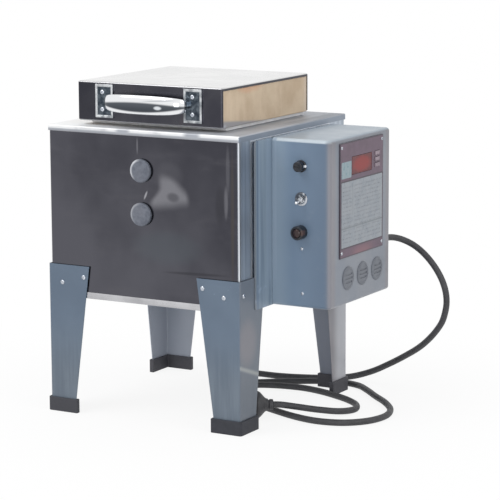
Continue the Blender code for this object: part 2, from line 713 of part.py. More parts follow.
def drillTails(pieces):
    """Holes for the tails and the thermocouple through the right wall, its jacket and the box's back."""
    for i, (y, z) in enumerate(tailPlaces()):
        hole = cylinder(
            f"cut_tail_{i}", TAIL_HOLE / 2, (CHAMBER_HALF_X - CUT_OVERRUN, y, z),
            (BOX_LEFT + BOX_SHEET + CUT_OVERRUN, y, z), cutters, sides=SMALL_SIDES,
        )
        for piece in pieces:
            cut(piece, hole)
    y, z = thermocouplePlace()
    hole = cylinder(
        "cut_thermocouple", THERMOCOUPLE_DIAMETER / 2 + THERMOCOUPLE_HOLE_GAP,
        (CHAMBER_HALF_X - CUT_OVERRUN, y, z), (BOX_LEFT + BOX_SHEET + CUT_OVERRUN, y, z), cutters,
        sides=SMALL_SIDES,
    )
    for piece in pieces:
        cut(piece, hole)


def buildElements():
    """Each element runs round the chamber in its groove and leaves through the right wall."""
    seat = ELEMENT_DIAMETER / 2 + FIT_GAP
    half = CHAMBER_HALF_X + GROOVE_DEPTH - seat
    front = CHAMBER_FRONT - GROOVE_DEPTH + seat
    back = CHAMBER_BACK + GROOVE_DEPTH - seat
    bend = ELEMENT_CORNER
    outside = BOX_LEFT + BOX_SHEET + TAIL_REACH
    for i, level in enumerate(ELEMENT_LEVELS):
        low = MIDDLE_Y - TAIL_SPACING / 2
        high = MIDDLE_Y + TAIL_SPACING / 2
        corners = (
            ((half - bend, front + bend), 0), ((-half + bend, front + bend), -90),
            ((-half + bend, back - bend), -180), ((half - bend, back - bend), -270),
        )
        path = [(outside, low), (half + seat, low), (half, low - seat)]
        for (x, y), turn in corners:
            for step in range(4):
                angle = math.radians(turn - 90 * step / 3)
                path.append((x + bend * math.cos(angle), y + bend * math.sin(angle)))
        path += [(half, high + seat), (half + seat, high), (outside, high)]
        thin = ELEMENT_TAIL_SHARE
        radii = [thin, thin] + [1] * (len(path) - 4) + [thin, thin]
        tube(f"heating_element_{i + 1}", [(x, y, level) for x, y in path], ELEMENT_DIAMETER, kiln, WIRE, radii)


def buildTerminals():
    places = tailPlaces()
    lowest = min(z for _, z in places)
    highest = max(z for _, z in places)
    left = BOX_LEFT + BOX_SHEET + FIT_GAP
    strip = box(
        "terminal_strip", (left, MIDDLE_Y - TERMINAL_WIDTH / 2, lowest - TERMINAL_MARGIN),
        (left + TERMINAL_DEPTH, MIDDLE_Y + TERMINAL_WIDTH / 2, highest + TERMINAL_MARGIN), kiln, PORCELAIN,
    )
    for i, (y, z) in enumerate(places):
        bore = cylinder(
            f"cut_terminal_{i}", TERMINAL_BORE / 2, (left - CUT_OVERRUN, y, z),
            (left + TERMINAL_DEPTH + CUT_OVERRUN, y, z), cutters, sides=SMALL_SIDES,
        )
        cut(strip, bore)
    y, z = thermocouplePlace()
    radius = THERMOCOUPLE_DIAMETER / 2
    head = THERMOCOUPLE_HEAD / 2
    start = CHAMBER_HALF_X - THERMOCOUPLE_REACH
    length = left - start
    turned(
        "thermocouple",
        (
            (0, length + THERMOCOUPLE_HEAD_LENGTH), (head, length + THERMOCOUPLE_HEAD_LENGTH),
            (head, length), (radius, length), (radius, 0), (0, 0),
        ),
        (start, y, z), (1, 0, 0), kiln, PORCELAIN, sides=SMALL_SIDES,
    )


def buildPeepPlugs():
    """Tapered ceramic plugs, whose origins lie on the line they slide along."""
    for name, height in zip(("peep_plug_upper", "peep_plug_lower"), PEEP_HEIGHTS):
        head = PEEP_HEAD_DIAMETER / 2
        stem = PEEP_STEM_DIAMETER / 2
        top = FIT_GAP + PEEP_HEAD_THICKNESS
        turned(
            name,
            (
                (0, top), (head - PEEP_EDGE, top), (head, top - PEEP_EDGE), (head, FIT_GAP),
                (stem, FIT_GAP), (PEEP_TIP_DIAMETER / 2, -CHAMBER_FRONT), (0, -CHAMBER_FRONT),
            ),
            (0, 0, height), (0, -1, 0), kiln, CERAMIC,
        )


# legs
def legWidth(height):
    """Width of a leg's flange at a height above the floor."""
    return LEG_FOOT_WIDTH + (LEG_TOP_WIDTH - LEG_FOOT_WIDTH) * height / LEG_TOP


def buildLeg(name, sideX, sideY):
    cornerX = sideX * (HALF_BODY + LEG_OUTER)
    cornerY = MIDDLE_Y + sideY * (MIDDLE_Y + LEG_OUTER)
    base = BOOT_SOLE + FIT_GAP
    shape = ((0, base), (0, LEG_TOP), (legWidth(LEG_TOP), LEG_TOP), (legWidth(base), base))
    face = outline(
        name, [(cornerX - sideX * a, z) for a, z in shape], LEG_SHEET, kiln, PAINT, "XZ",
        (0, cornerY - sideY * LEG_SHEET / 2, 0),
    )
    flange = outline(
        "join_" + name, [(cornerY - sideY * a, z) for a, z in shape], LEG_SHEET, cutters, None, "YZ",
        (cornerX - sideX * LEG_SHEET / 2, 0, 0),
    )
    cut(face, flange, "UNION")
    reach = FIT_GAP + BOOT_WALL
    length = legWidth(BOOT_HEIGHT) + FIT_GAP
    boot = bootShape(name.replace("leg", "boot"), cornerX, cornerY, sideX, sideY, reach, length + BOOT_WALL,
                     0, BOOT_HEIGHT, kiln, RUBBER)
    slot = bootShape("cut_" + boot.name, cornerX, cornerY, sideX, sideY, FIT_GAP, length,
                     BOOT_SOLE, BOOT_HEIGHT + CUT_OVERRUN, cutters, None)
    cut(boot, slot)


def bootShape(name, cornerX, cornerY, sideX, sideY, reach, length, low, high, group, material):
    """An L outline round a leg's corner, reaching past its sheet on both faces."""
    thick = LEG_SHEET + reach
    shape = ((-reach, -reach), (length, -reach), (length, thick), (thick, thick), (thick, length), (-reach, length))
    points = [(cornerX - sideX * a, cornerY - sideY * b) for a, b in shape]
    return outline(name, points, high - low, group, material, "XY", (0, 0, (low + high) / 2))


# lid, handle and hinge
def buildLid():
    half = LID_HALF_X
    brickHalf = half - LID_SHEET - FIT_GAP
    box(
        "lid_brick", (-brickHalf, LID_FRONT + LID_SHEET + FIT_GAP, LID_BASE),
        (brickHalf, LID_BACK - LID_SHEET - FIT_GAP, LID_BASE + LID_BRICK), kiln, BRICK,
    )
    cover = box(
        "lid_cover", (-half, LID_FRONT, LID_BASE + LID_SKIRT_RISE), (half, LID_BACK, LID_TOP), kiln, STEEL,
    )
    hollow = box(
        "cut_lid_hollow", (-half + LID_SHEET, LID_FRONT + LID_SHEET, LID_BASE - CUT_OVERRUN),
        (half - LID_SHEET, LID_BACK - LID_SHEET, LID_TOP - LID_SHEET), cutters,
    )
    sides = box(
        "cut_lid_sides", (-half - CUT_OVERRUN, LID_FRONT + LID_SHEET, LID_BASE - CUT_OVERRUN),
        (half + CUT_OVERRUN, LID_BACK - LID_SHEET, LID_TOP - LID_SHEET - LID_SIDE_HEM), cutters,
    )
    cut(cover, hollow)
    cut(cover, sides)


def buildHandle():
    plateBack = LID_FRONT - FIT_GAP
    plateFace = plateBack - HANDLE_PLATE_SHEET
    for name, side in (("handle_plate_left", -1), ("handle_plate_right", 1)):
        middle = side * HANDLE_SPAN / 2
        box(
            name, (middle - HANDLE_PLATE_WIDTH / 2, plateFace, HANDLE_HEIGHT - HANDLE_PLATE_HEIGHT / 2),
            (middle + HANDLE_PLATE_WIDTH / 2, plateBack, HANDLE_HEIGHT + HANDLE_PLATE_HEIGHT / 2),
            kiln, CHROME, bevel=HANDLE_PLATE_SHEET / 3,
        )
    thick = HANDLE_GRIP_THICKNESS
    end = plateFace - FIT_GAP
    reach = HANDLE_REACH - thick / 2
    half = HANDLE_SPAN / 2 - HANDLE_END_INSET
    path = []
    radii = []
    steps = 22
    for i in range(steps + 1):
        turn = math.pi * i / steps
        along = -math.copysign(abs(math.cos(turn)) ** 0.75, math.cos(turn))
        out = math.sin(turn) ** 0.60
        path.append((half * along, end - reach * out, 0))
        radii.append(HANDLE_NECK_SHARE + (1 - HANDLE_NECK_SHARE) * math.sin(turn))
    data = bpy.data.curves.new("handle_grip", "CURVE")
    data.dimensions = "3D"
    data.bevel_depth = thick / 2
    data.bevel_resolution = 4
    data.use_fill_caps = True
    line = data.splines.new("POLY")
    line.points.add(len(path) - 1)
    for i, point in enumerate(path):
        line.points[i].co = (*point, 1)
        line.points[i].radius = radii[i]
    curve = bpy.data.objects.new("handle_grip", data)
    kiln.objects.link(curve)
    grip = asMesh(curve, "handle_grip", kiln, CHROME)
    grip.data.transform(Matrix.Diagonal((1, 1, HANDLE_GRIP_HEIGHT / thick, 1)))
    grip.location = (0, 0, HANDLE_HEIGHT)
    trim = box(
        "cut_grip", (-HANDLE_SPAN, end, HANDLE_HEIGHT - HANDLE_GRIP_HEIGHT),
        (HANDLE_SPAN, end + HANDLE_REACH, HANDLE_HEIGHT + HANDLE_GRIP_HEIGHT), cutters,
    )
    cut(grip, trim)
    smooth(grip)


def buildHinge():
    radius = HINGE_ROD_DIAMETER / 2
    cylinder(
        "hinge_rod", radius, (-HINGE_ROD_LENGTH / 2, HINGE_Y, HINGE_Z),
        (HINGE_ROD_LENGTH / 2, HINGE_Y, HINGE_Z), kiln, ZINC,
    )
    bore = cylinder(
        "cut_hinge", radius + FIT_GAP, (-HINGE_ROD_LENGTH, HINGE_Y, HINGE_Z),
        (HINGE_ROD_LENGTH, HINGE_Y, HINGE_Z), cutters,
    )
    for name, side in (("left", -1), ("right", 1)):
        outer = side * HINGE_EAR_SPREAD
        inner = side * (HINGE_EAR_SPREAD - HINGE_EAR_WIDTH)
        low = min(outer, inner)
        high = max(outer, inner)
        foot = CAP_TOP + FIT_GAP
        bracket = box(
            "hinge_bracket_" + name, (low, HINGE_Y - HINGE_EAR_RADIUS, foot),
            (high, HINGE_Y + HINGE_EAR_RADIUS, HINGE_Z), kiln, ZINC,
        )
        eye = cylinder(
            "join_bracket_" + name, HINGE_EAR_RADIUS, (low, HINGE_Y, HINGE_Z), (high, HINGE_Y, HINGE_Z), cutters,
        )
        leaf = box(
            "join_leaf_" + name, (low, HINGE_Y - HINGE_EAR_RADIUS, foot),
            (high, HINGE_Y - HINGE_EAR_RADIUS + HINGE_LEAF_LENGTH, foot + HINGE_LEAF_SHEET), cutters,
        )
        cut(bracket, eye, "UNION")
        cut(bracket, leaf, "UNION")
        cut(bracket, bore)
        outer = side * (HINGE_EAR_SPREAD - HINGE_EAR_WIDTH - FIT_GAP)
        inner = outer - side * HINGE_EAR_WIDTH
        low = min(outer, inner)
        high = max(outer, inner)
        plateBase = HINGE_Z - HINGE_EAR_RADIUS / 2
        arm = box(
            "lid_arm_" + name, (low, LID_BACK + FIT_GAP, plateBase),
            (high, HINGE_Y, HINGE_Z + HINGE_EAR_RADIUS / 2), kiln, ZINC,
        )
        eye = cylinder(
            "join_arm_" + name, HINGE_EAR_RADIUS, (low, HINGE_Y, HINGE_Z), (high, HINGE_Y, HINGE_Z), cutters,
        )
        far = outer - side * HINGE_LEAF_WIDTH
        plate = box(
            "join_plate_" + name, (min(outer, far), LID_BACK + FIT_GAP, plateBase),
            (max(outer, far), LID_BACK + FIT_GAP + HINGE_LEAF_SHEET, plateBase + HINGE_ARM_RISE), cutters,
        )
        cut(arm, eye, "UNION")
        cut(arm, plate, "UNION")
        cut(arm, bore)


# control box
def buildBox():
    low = Vector((BOX_LEFT + BOX_SHEET + FIT_GAP, BOX_FRONT, BOX_BASE))
    high = Vector((BOX_RIGHT, BOX_BACK, BOX_TOP))
    bpy.ops.mesh.primitive_cube_add(size=1)
    shell = bpy.context.active_object
    shell.data.transform(Matrix.Diagonal((*(high - low), 1)))
    shell.location = (low + high) / 2
    mesh = bmesh.new()
    mesh.from_mesh(shell.data)
    mesh.faces.ensure_lookup_table()
    open_side = min(mesh.faces, key=lambda f: f.calc_center_median().x)
    bmesh.ops.delete(mesh, geom=[open_side], context="FACES_ONLY")
    folds = [e for e in mesh.edges if len(e.link_faces) == 2]
    bmesh.ops.bevel(mesh, geom=folds, offset=BOX_CORNER, segments=3, profile=0.5, affect="EDGES")
    mesh.to_mesh(shell.data)
    mesh.free()
    wall = shell.modifiers.new("sheet", "SOLIDIFY")
    wall.thickness = BOX_SHEET
    wall.offset = -1
    wall.use_even_offset = True
    place(shell, "box_shell", kiln, PAINT)
    # the back plate reaches forward of the box as a heat shield, off the kiln's side
    back = box(
        "box_back_plate", (BOX_LEFT, BOX_FRONT - SHIELD_REACH, BOX_BASE),
        (BOX_LEFT + BOX_SHEET, BOX_BACK, BOX_TOP), kiln, PAINT, bevel=BOX_CORNER, axis=0,
    )
    high = BOX_TOP - BOSS_HIGH_INSET
    low = LEG_TOP + BOSS_LEG_GAP + BOSS_DIAMETER / 2
    places = [
        (y, z) for y in (BOX_FRONT + BOSS_SIDE_INSET, BOX_BACK - BOSS_SIDE_INSET) for z in (high, low)
    ]
    for i, (y, z) in enumerate(places):
        boss = cylinder(
            f"join_boss_{i}", BOSS_DIAMETER / 2, (HALF_BODY + FIT_GAP, y, z),
            (BOX_LEFT + BOX_SHEET / 2, y, z), cutters, sides=SMALL_SIDES,
        )
        cut(back, boss, "UNION")
    return shell, back


def drillBox(shell):
    front = BOX_FRONT - CUT_OVERRUN
    behind = BOX_FRONT + BOX_SHEET + CUT_OVERRUN
    for name, diameter, height in (
        ("fuse", FUSE_BARREL_DIAMETER, FUSE_HEIGHT), ("toggle", TOGGLE_BUSH_DIAMETER, TOGGLE_HEIGHT),
        ("lamp", LAMP_BARREL_DIAMETER, LAMP_HEIGHT),
    ):
        hole = cylinder(
            "cut_box_" + name, diameter / 2 + FIT_GAP, (CONTROL_X, front, height), (CONTROL_X, behind, height), cutters,
        )
        cut(shell, hole)
    inside = BOX_INNER_RIGHT - CUT_OVERRUN
    outside = BOX_RIGHT + CUT_OVERRUN
    window = box(
        "cut_box_window", (inside, DISPLAY_FRONT - WINDOW_MARGIN, DISPLAY_TOP - DISPLAY_HEIGHT - WINDOW_MARGIN),
        (outside, KEY_FRONT + KEY_WIDTH + WINDOW_MARGIN, DISPLAY_TOP + WINDOW_MARGIN), cutters,
    )
    cut(shell, window)
    for i, y in enumerate(ventPlaces()):
        hole = cylinder(
            f"cut_box_vent_{i}", VENT_BARREL_DIAMETER / 2 + FIT_GAP, (inside, y, VENT_Z),
            (outside, y, VENT_Z), cutters,
        )
        cut(shell, hole)
    hole = cylinder(
        "cut_box_cord", RELIEF_BARREL_DIAMETER / 2 + FIT_GAP, (CORD_EXIT_X, BOX_BACK - BOX_SHEET - CUT_OVERRUN, CORD_EXIT_Z),
        (CORD_EXIT_X, BOX_BACK + CUT_OVERRUN, CORD_EXIT_Z), cutters,
    )
    cut(shell, hole)


def ventPlaces():
    middle = PLATE_FRONT + PLATE_WIDTH / 2 + VENT_ROW_OFFSET
    return [middle + k * VENT_PITCH for k in (-1, 0, 1)]


def buildVents():
    z = VENT_Z
    for i, y in enumerate(ventPlaces()):
        vent = turned(
            f"vent_{i + 1}",
            (
                (0, VENT_PROUD), (VENT_DIAMETER / 2 - VENT_PROUD, VENT_PROUD), (VENT_DIAMETER / 2, FIT_GAP),
                (VENT_BARREL_DIAMETER / 2, FIT_GAP), (VENT_BARREL_DIAMETER / 2, -VENT_BARREL_DEPTH),
                (0, -VENT_BARREL_DEPTH),
            ),
            (BOX_RIGHT, y, z), (1, 0, 0), kiln, VENT,
        )
        pitch = VENT_BARREL_DIAMETER * VENT_SLOT_LENGTH_SHARE / (VENT_SLOT_COUNT + 1)
        for k in range(VENT_SLOT_COUNT):
            offset = (k - (VENT_SLOT_COUNT - 1) / 2) * pitch
            reach = math.sqrt((VENT_BARREL_DIAMETER / 2) ** 2 - offset ** 2) * VENT_SLOT_LENGTH_SHARE
            slot = box(
                f"cut_vent_{i}_{k}", (BOX_RIGHT - VENT_BARREL_DEPTH - CUT_OVERRUN, y - reach, z + offset - VENT_SLOT_HEIGHT / 2),
                (BOX_RIGHT + VENT_PROUD + CUT_OVERRUN, y + reach, z + offset + VENT_SLOT_HEIGHT / 2), cutters,
            )
            cut(vent, slot)


def buildController():
    left = BOX_RIGHT + FIT_GAP
    plate = box(
        "controller_plate", (left, PLATE_FRONT, PLATE_BASE),
        (PLATE_FACE, PLATE_FRONT + PLATE_WIDTH, PLATE_TOP), kiln, MAROON,
    )
    gap = FIT_GAP
    display = box(
        "cut_plate_display", (left - CUT_OVERRUN, DISPLAY_FRONT - gap, DISPLAY_TOP - DISPLAY_HEIGHT - gap),
        (PLATE_FACE + CUT_OVERRUN, DISPLAY_FRONT + DISPLAY_WIDTH + gap, DISPLAY_TOP + gap), cutters,
    )
    cut(plate, display)
    box(
        "display_window", (left, DISPLAY_FRONT, DISPLAY_TOP - DISPLAY_HEIGHT),
        (PLATE_FACE, DISPLAY_FRONT + DISPLAY_WIDTH, DISPLAY_TOP), kiln, RED,
    )
    for i in range(3):
        top = DISPLAY_TOP - i * KEY_PITCH
        opening = box(
            f"cut_plate_key_{i}", (left - CUT_OVERRUN, KEY_FRONT - gap, top - KEY_HEIGHT - gap),
            (PLATE_FACE + CUT_OVERRUN, KEY_FRONT + KEY_WIDTH + gap, top + gap), cutters,
        )
        cut(plate, opening)
        box(
            f"key_{i + 1}", (PLATE_FACE + KEY_PROUD - KEY_DEPTH, KEY_FRONT, top - KEY_HEIGHT),
            (PLATE_FACE + KEY_PROUD, KEY_FRONT + KEY_WIDTH, top), kiln, KEYS,
        )
    right = BOX_INNER_RIGHT - BOARD_STANDOFF
    top = DISPLAY_TOP + BOARD_MARGIN
    start = DISPLAY_FRONT - BOARD_MARGIN
    end = KEY_FRONT + KEY_WIDTH + BOARD_MARGIN
    board = box(
        "controller_board", (right - BOARD_SHEET, start, top - BOARD_HEIGHT), (right, end, top), kiln, GREEN,
    )
    inset = BOARD_POST_DIAMETER
    for i, (y, z) in enumerate(
        ((start + inset, top - inset), (end - inset, top - inset),
         (start + inset, top - BOARD_HEIGHT + inset), (end - inset, top - BOARD_HEIGHT + inset))
    ):
        post = cylinder(
            f"join_post_{i}", BOARD_POST_DIAMETER / 2, (right - BOARD_SHEET / 2, y, z),
            (BOX_INNER_RIGHT - FIT_GAP, y, z), cutters, sides=SMALL_SIDES,
        )
        cut(board, post, "UNION")


def buildFrontControls():
    forward = (0, -1, 0)
    # fuse holder: a barrel through the front, its sliding carrier and the cap that turns on it
    at = (CONTROL_X, BOX_FRONT, FUSE_HEIGHT)
    collar = FIT_GAP + FUSE_COLLAR_LENGTH
    barrel = FUSE_BARREL_DIAMETER / 2
    bore = FUSE_CARRIER_DIAMETER / 2 + FIT_GAP
    depth = FUSE_BORE_DEPTH
    turned(
        "fuse_holder",
        (
            (bore, collar), (FUSE_COLLAR_DIAMETER / 2, collar), (FUSE_COLLAR_DIAMETER / 2, FIT_GAP),
            (barrel, FIT_GAP), (barrel, -FUSE_BARREL_LENGTH), (0, -FUSE_BARREL_LENGTH), (0, -depth),
            (bore, -depth), (bore, collar),
        ),
        at, forward, kiln, BLACK,
    )
    carrier = FUSE_CARRIER_DIAMETER / 2
    face = collar + FIT_GAP
    peg = carrier - FIT_GAP - carrier / 3
    turned(
        "fuse_carrier",
        (
            (0, face + FUSE_CAP_LENGTH / 2), (peg, face + FUSE_CAP_LENGTH / 2), (peg, collar),
            (carrier, collar), (carrier, collar - FUSE_CARRIER_LENGTH), (0, collar - FUSE_CARRIER_LENGTH),
        ),
        at, forward, kiln, PORCELAIN, sides=SMALL_SIDES,
    )
    cap = FUSE_CAP_DIAMETER / 2
    seat = face + FUSE_CAP_LENGTH / 2 + FIT_GAP
    turned(
        "fuse_cap",
        (
            (0, face + FUSE_CAP_LENGTH), (cap, face + FUSE_CAP_LENGTH), (cap, face), (peg + FIT_GAP, face),
            (peg + FIT_GAP, seat), (0, seat),
        ),
        at, forward, kiln, BLACK,
    )
    # toggle switch: body behind the sheet, bush and nut in front, lever on its pivot in the sheet's plane
    at = (CONTROL_X, BOX_FRONT, TOGGLE_HEIGHT)
    bush = TOGGLE_BUSH_DIAMETER / 2
    nut = TOGGLE_NUT_WIDTH / 2
    low = FIT_GAP
    rear = -BOX_SHEET - FIT_GAP
    mouth = TOGGLE_BORE / 2
    root_radius = TOGGLE_LEVER_ROOT / 2
    bottom = rear - TOGGLE_LEVER_TIP
    switch = turned(
        "toggle_switch",
        (
            (mouth, TOGGLE_BUSH_LENGTH), (bush, TOGGLE_BUSH_LENGTH), (bush, low + TOGGLE_NUT_THICKNESS),
            (nut, low + TOGGLE_NUT_THICKNESS), (nut, low), (bush, low), (bush, rear),
            (nut, rear), (nut, rear - TOGGLE_BODY_LENGTH), (0, rear - TOGGLE_BODY_LENGTH), (0, bottom),
            (mouth, bottom), (mouth, TOGGLE_BUSH_LENGTH),
        ),
        at, forward, kiln, CHROME,
    )
    lever = turned(
        "toggle_lever",
        (
            (0, TOGGLE_LEVER_LENGTH), (TOGGLE_LEVER_TIP / 2 * 0.8, TOGGLE_LEVER_LENGTH),
            (TOGGLE_LEVER_TIP / 2, TOGGLE_LEVER_LENGTH - TOGGLE_LEVER_TIP / 4),
            (root_radius, 0), (root_radius * 0.7, bottom + FIT_GAP), (0, bottom + FIT_GAP),
        ),
        at, forward, kiln, CHROME, sides=SMALL_SIDES,
    )
    tilt = Matrix.Rotation(math.radians(TOGGLE_TILT), 3, "X").to_quaternion()
    lever.rotation_quaternion = tilt @ lever.rotation_quaternion
    # pilot lamp: deep bezel with a lens in it
    at = (CONTROL_X, BOX_FRONT, LAMP_HEIGHT)
    bezel = LAMP_BEZEL_DIAMETER / 2
    lens = LAMP_LENS_DIAMETER / 2
    top = FIT_GAP + LAMP_BEZEL_LENGTH
    barrel = LAMP_BARREL_DIAMETER / 2
    turned(
        "lamp_bezel",
        (
            (lens + FIT_GAP, top), (bezel, top), (bezel, FIT_GAP), (barrel, FIT_GAP),
            (barrel, -LAMP_BARREL_LENGTH), (0, -LAMP_BARREL_LENGTH), (0, top - LAMP_LENS_SEAT),
            (lens + FIT_GAP, top - LAMP_LENS_SEAT), (lens + FIT_GAP, top),
        ),
        at, forward, kiln, BLACK,
    )
    turned(
        "lamp_lens",
        (
            (0, top + LAMP_LENS_PROUD), (lens * 0.6, top + LAMP_LENS_PROUD * 0.8), (lens, top),
            (lens, top - LAMP_LENS_SEAT + FIT_GAP), (0, top - LAMP_LENS_SEAT + FIT_GAP),
        ),
        at, forward, kiln, LAMP,
    )


def buildRelay():
    left = BOX_LEFT + BOX_SHEET + FIT_GAP
    start = MIDDLE_Y - TERMINAL_WIDTH / 2 - RELAY_SPACING - RELAY_WIDTH
    base = BOX_BASE + RELAY_RISE
    box(
        "relay", (left, start, base), (left + RELAY_DEPTH, start + RELAY_WIDTH, base + RELAY_HEIGHT), kiln, BLACK,
    )


# power cord
def buildCord():
    backward = (0, 1, 0)
    at = Vector((CORD_EXIT_X, BOX_BACK, CORD_EXIT_Z))
    flange = RELIEF_FLANGE_DIAMETER / 2
    nose = RELIEF_NOSE_DIAMETER / 2
    barrel = RELIEF_BARREL_DIAMETER / 2
    low = FIT_GAP
    turned(
        "strain_relief",
        (
            (0, RELIEF_LENGTH), (nose, RELIEF_LENGTH), (flange, low + RELIEF_FLANGE_THICKNESS), (flange, low),
            (barrel, low), (barrel, -RELIEF_BARREL_LENGTH), (0, -RELIEF_BARREL_LENGTH),
        ),
        at, backward, kiln, BLACK,
    )
    exit_point = at + Vector((0, RELIEF_LENGTH + FIT_GAP, 0))
    straight = exit_point + Vector((0, CORD_DIAMETER, 0))
    points, length = smoothLine([straight, *CORD_ROUTE], CORD_DIAMETER * CORD_STEP_SHARE)
    points.insert(0, exit_point)
    print("cord length", round(length + CORD_DIAMETER, 4), "points", len(points))
    tube("power_cord", points, CORD_DIAMETER, kiln, RUBBER)
    end = points[-1]
    heading = (points[-1] - points[-2]).normalized()
    buildPlug(end + heading * FIT_GAP, heading)


def buildPlug(start, axis):
    """A round bodied plug lying on the floor, square to the end of the cord."""
    length = PLUG_LENGTH
    turned(
        "plug_body",
        (
            (0, length), (PLUG_DIAMETER / 2 * 0.92, length), (PLUG_DIAMETER / 2, length * 0.94),
            (PLUG_DIAMETER / 2, length * 0.55), (PLUG_NECK_DIAMETER / 2, 0), (0, 0),
        ),
        start, axis, kiln, RUBBER,
    )
    middle = start + axis * (length + FIT_GAP + PLUG_FACE_THICKNESS / 2)
    across = axis.cross(Vector((0, 0, 1))).normalized()
    up = across.cross(axis).normalized()
    frame = Matrix((across, axis, up)).transposed().to_4x4()
    face = cylinder(
        "plug_prongs", PLUG_DIAMETER / 2 * 0.86, (0, -PLUG_FACE_THICKNESS / 2, 0), (0, PLUG_FACE_THICKNESS / 2, 0),
        kiln, STEEL,
    )
    face.data.transform(Matrix.Translation(face.location))
    face.location = (0, 0, 0)
    pieces = []
    for i, offset in enumerate((-BLADE_SPACING / 2, BLADE_SPACING / 2)):
        pieces.append(box(
            f"join_blade_{i}", (offset - BLADE_THICKNESS / 2, 0, GROUND_PIN_DROP / 3 - BLADE_WIDTH / 2),
            (offset + BLADE_THICKNESS / 2, BLADE_LENGTH, GROUND_PIN_DROP / 3 + BLADE_WIDTH / 2), cutters,
        ))
    pieces.append(cylinder(
        "join_ground_pin", GROUND_PIN_DIAMETER / 2, (0, 0, -GROUND_PIN_DROP * 2 / 3),
        (0, BLADE_LENGTH, -GROUND_PIN_DROP * 2 / 3), cutters, sides=SMALL_SIDES,
    ))
    for piece in (face, *pieces):
        piece.data.transform(frame @ Matrix.Translation(piece.location))
        piece.location = middle
    for piece in pieces:
        cut(face, piece, "UNION")


rightPanel = buildJacket()
buildTrayAndCap()
rightBrick = buildBricks()
boxShell, boxBack = buildBox()
drillTails((rightBrick, rightPanel, boxBack))
buildElements()
buildTerminals()
buildPeepPlugs()
for legName, legSideX, legSideY in (
    ("leg_front_left", -1, -1), ("leg_front_right", 1, -1), ("leg_back_left", -1, 1), ("leg_back_right", 1, 1),
):
    buildLeg(legName, legSideX, legSideY)
buildLid()
buildHandle()
buildHinge()
drillBox(boxShell)
buildVents()
buildController()
buildFrontControls()
buildRelay()
buildCord()
bpy.context.view_layer.update()
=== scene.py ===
import json
import math

import bmesh
import bpy
from mathutils import Matrix, Vector

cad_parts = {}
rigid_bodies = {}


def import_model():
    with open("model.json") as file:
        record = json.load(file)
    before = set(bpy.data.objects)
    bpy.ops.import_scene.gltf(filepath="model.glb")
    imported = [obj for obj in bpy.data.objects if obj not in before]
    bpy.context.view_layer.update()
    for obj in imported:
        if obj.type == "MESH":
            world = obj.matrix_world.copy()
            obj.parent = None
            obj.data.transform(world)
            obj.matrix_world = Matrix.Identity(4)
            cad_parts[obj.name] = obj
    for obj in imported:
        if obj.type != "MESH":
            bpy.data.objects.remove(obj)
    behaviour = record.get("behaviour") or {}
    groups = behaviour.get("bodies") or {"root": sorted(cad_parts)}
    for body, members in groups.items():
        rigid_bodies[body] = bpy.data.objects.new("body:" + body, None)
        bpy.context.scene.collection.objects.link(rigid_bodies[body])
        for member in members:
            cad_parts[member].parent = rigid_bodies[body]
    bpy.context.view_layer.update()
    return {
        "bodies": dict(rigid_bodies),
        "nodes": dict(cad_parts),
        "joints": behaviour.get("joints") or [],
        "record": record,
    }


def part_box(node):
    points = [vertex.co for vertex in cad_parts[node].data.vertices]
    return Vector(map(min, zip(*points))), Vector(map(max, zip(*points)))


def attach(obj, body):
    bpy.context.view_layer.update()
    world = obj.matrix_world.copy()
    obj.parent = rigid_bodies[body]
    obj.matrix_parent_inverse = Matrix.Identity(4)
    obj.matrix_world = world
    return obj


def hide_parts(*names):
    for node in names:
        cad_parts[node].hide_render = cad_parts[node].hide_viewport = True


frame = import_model()
nodes = frame["nodes"]
print("frame loaded:", len(nodes), "nodes")


def span(name):
    # lowest and highest corner of a CAD node
    low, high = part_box(name)
    return Vector(low), Vector(high)


def middleOf(name):
    low, high = span(name)
    return (low + high) / 2


# places are given from the middle of the body's front on the floor, as the kiln is measured
bodyLow, bodyHigh = span("front_panel")
kilnMiddle = Vector(((bodyLow.x + bodyHigh.x) / 2, bodyLow.y, 0))
mainBody = "kiln_body"

# how far a piece stands off its seat
lift = 0.0003


def at(x, y, z):
    return Vector((x, y, z)) + kilnMiddle


# the camera stands where the photographer stood
cameraSet = {
    "place": (1.8918, -2.9538, 0.8962),
    "right": (0.86743, 0.49755, -0.00413),
    "up": (-0.08296, 0.1528, 0.98477),
    "lens": 162.9,
    "sensor": 36.0,
    "reach": 100,
}


def makeCamera():
    right = Vector(cameraSet["right"]).normalized()
    back = right.cross(Vector(cameraSet["up"])).normalized()
    up = back.cross(right)
    bpy.ops.object.camera_add()
    camera = bpy.context.active_object
    camera.name = "photoCamera"
    turn = Matrix((right, up, back)).transposed().to_4x4()
    camera.matrix_world = Matrix.Translation(at(*cameraSet["place"])) @ turn
    camera.data.lens = cameraSet["lens"]
    camera.data.sensor_width = cameraSet["sensor"]
    camera.data.clip_end = cameraSet["reach"]
    bpy.context.scene.camera = camera


makeCamera()
bpy.context.scene.view_settings.view_transform = "Standard"
print("camera ready")

# where most of a noise lies
noiseLow, noiseHigh = 0.3, 0.7


